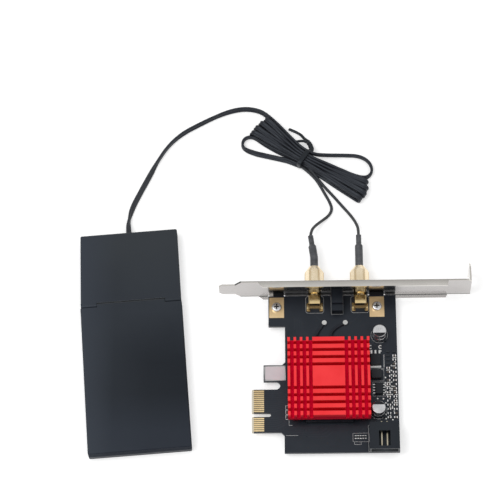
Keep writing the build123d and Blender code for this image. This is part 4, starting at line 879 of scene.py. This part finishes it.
lead_jacket = finish(
    "lead_jacket", ((0.03, 0.031, 0.035), (0.041, 0.042, 0.046)), (0.4, 0.55),
    stretch=1800.0, blotch=160.0, specular=0.35,
)
tree, x, y, z = coordinates(lead_jacket)
paint_where(lead_jacket, mapped(tree, y, (0.072, 0.06), (0.0, 1.0)), (0.06, 0.06, 0.06))
for side, points in LEADS.items():
    curve = nurbs_curve(f"{side}_lead_run", points, LEAD_STEPS)
    curve.bevel_depth = LEAD_R
    curve.bevel_resolution = 4
    curve.use_fill_caps = True
    curve.materials.append(lead_jacket)
    lead = bpy.data.objects.new(f"{side}_lead_run", curve)
    bpy.context.scene.collection.objects.link(lead)
    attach(lead, "card")
    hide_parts(f"{side}_lead")
    line = smooth_line(points, LEAD_STEPS)

# Table and light
# A plain white table with a low white wall far behind it on every side, in a softly lit room.
# One large soft lamp hangs overhead and a weaker one stands in front.
TABLE_REACH = 3.0
TABLE_TOP = -0.00006
WALL_TOP = 0.55
TABLE_GLOW = 0.42
ROOM_GLOW = (0.28, 0.8)
LAMPS = {"overhead": ((-0.4, -0.05, 0.85), 2.7), "front": ((0.4, -0.6, 0.5), 0.6)}
LAMP_SIZE = 0.5
LAMP_AIM = Vector((0, 0.02, 0))
corners = [(a * TABLE_REACH, b * TABLE_REACH) for a, b in ((-1, -1), (1, -1), (1, 1), (-1, 1))]
floor_verts = [(*corner, level) for level in (TABLE_TOP, WALL_TOP) for corner in corners]
walls = [(i + 4, (i + 1) % 4 + 4, (i + 1) % 4, i) for i in range(4)]
floor_mesh = bpy.data.meshes.new("floor")
floor_mesh.from_pydata(floor_verts, [], [(0, 1, 2, 3), *walls])
floor = bpy.data.objects.new("floor", floor_mesh)
bpy.context.scene.collection.objects.link(floor)
table_white = bpy.data.materials.new("table_white")
table_white.use_nodes = True
tree = table_white.node_tree
table_shader = tree.nodes["Principled BSDF"].inputs
table_shader["Base Color"].default_value = (0.82, 0.82, 0.82, 1.0)
table_shader["Roughness"].default_value = 0.9
table_shader["Emission Color"].default_value = (1.0, 1.0, 1.0, 1.0)
path = add_node(tree, "ShaderNodeLightPath").outputs
mirrored = maths(tree, "ADD", path["Is Glossy Ray"], path["Is Transmission Ray"])
seen = maths(tree, "MINIMUM", maths(tree, "ADD", path["Is Camera Ray"], mirrored), 1.0)
tree.links.new(maths(tree, "MULTIPLY", seen, TABLE_GLOW), table_shader["Emission Strength"])
floor_mesh.materials.append(table_white)

world = bpy.data.worlds.new("white_room")
bpy.context.scene.world = world
world.use_nodes = True
tree = world.node_tree
room = tree.nodes["Background"].inputs
room["Color"].default_value = (1.0, 1.0, 1.0, 1.0)
aim = add_node(tree, "ShaderNodeTexCoord").outputs["Generated"]
height = add_node(tree, "ShaderNodeSeparateXYZ", {0: aim}).outputs[2]
tree.links.new(mapped(tree, height, (0.0, 0.95), ROOM_GLOW), room["Strength"])
for name, (spot, power) in LAMPS.items():
    lamp = bpy.data.lights.new(name, "AREA")
    lamp.size = LAMP_SIZE
    lamp.energy = power
    carrier = bpy.data.objects.new(name, lamp)
    bpy.context.scene.collection.objects.link(carrier)
    carrier.location = spot
    carrier.rotation_euler = (LAMP_AIM - Vector(spot)).to_track_quat("-Z", "Y").to_euler()

# Camera
# It looks down on the table from the front, as in the photograph.
# Its place, turn and lens were fitted to the bracket's ends, the board's outline and the finger edge.
CAMERA_AT = (0.01349, -0.39418, 1.02282)
CAMERA_RIGHT = Vector((0.9997, -0.0025, -0.0258))
CAMERA_UP = Vector((0.0126, 0.9178, 0.3969))
CAMERA_BACK = Vector((0.0227, -0.397, 0.9175))
camera_data = bpy.data.cameras.new("camera")
camera_data.sensor_width = 36.0
camera_data.lens = 165.5
camera_data.clip_end = 20.0
camera = bpy.data.objects.new("camera", camera_data)
bpy.context.scene.collection.objects.link(camera)
turned = Matrix((CAMERA_RIGHT, CAMERA_UP, CAMERA_BACK)).transposed().to_4x4()
camera.matrix_world = Matrix.Translation(CAMERA_AT) @ turned
bpy.context.scene.camera = camera
bpy.context.scene.view_settings.view_transform = "Standard"
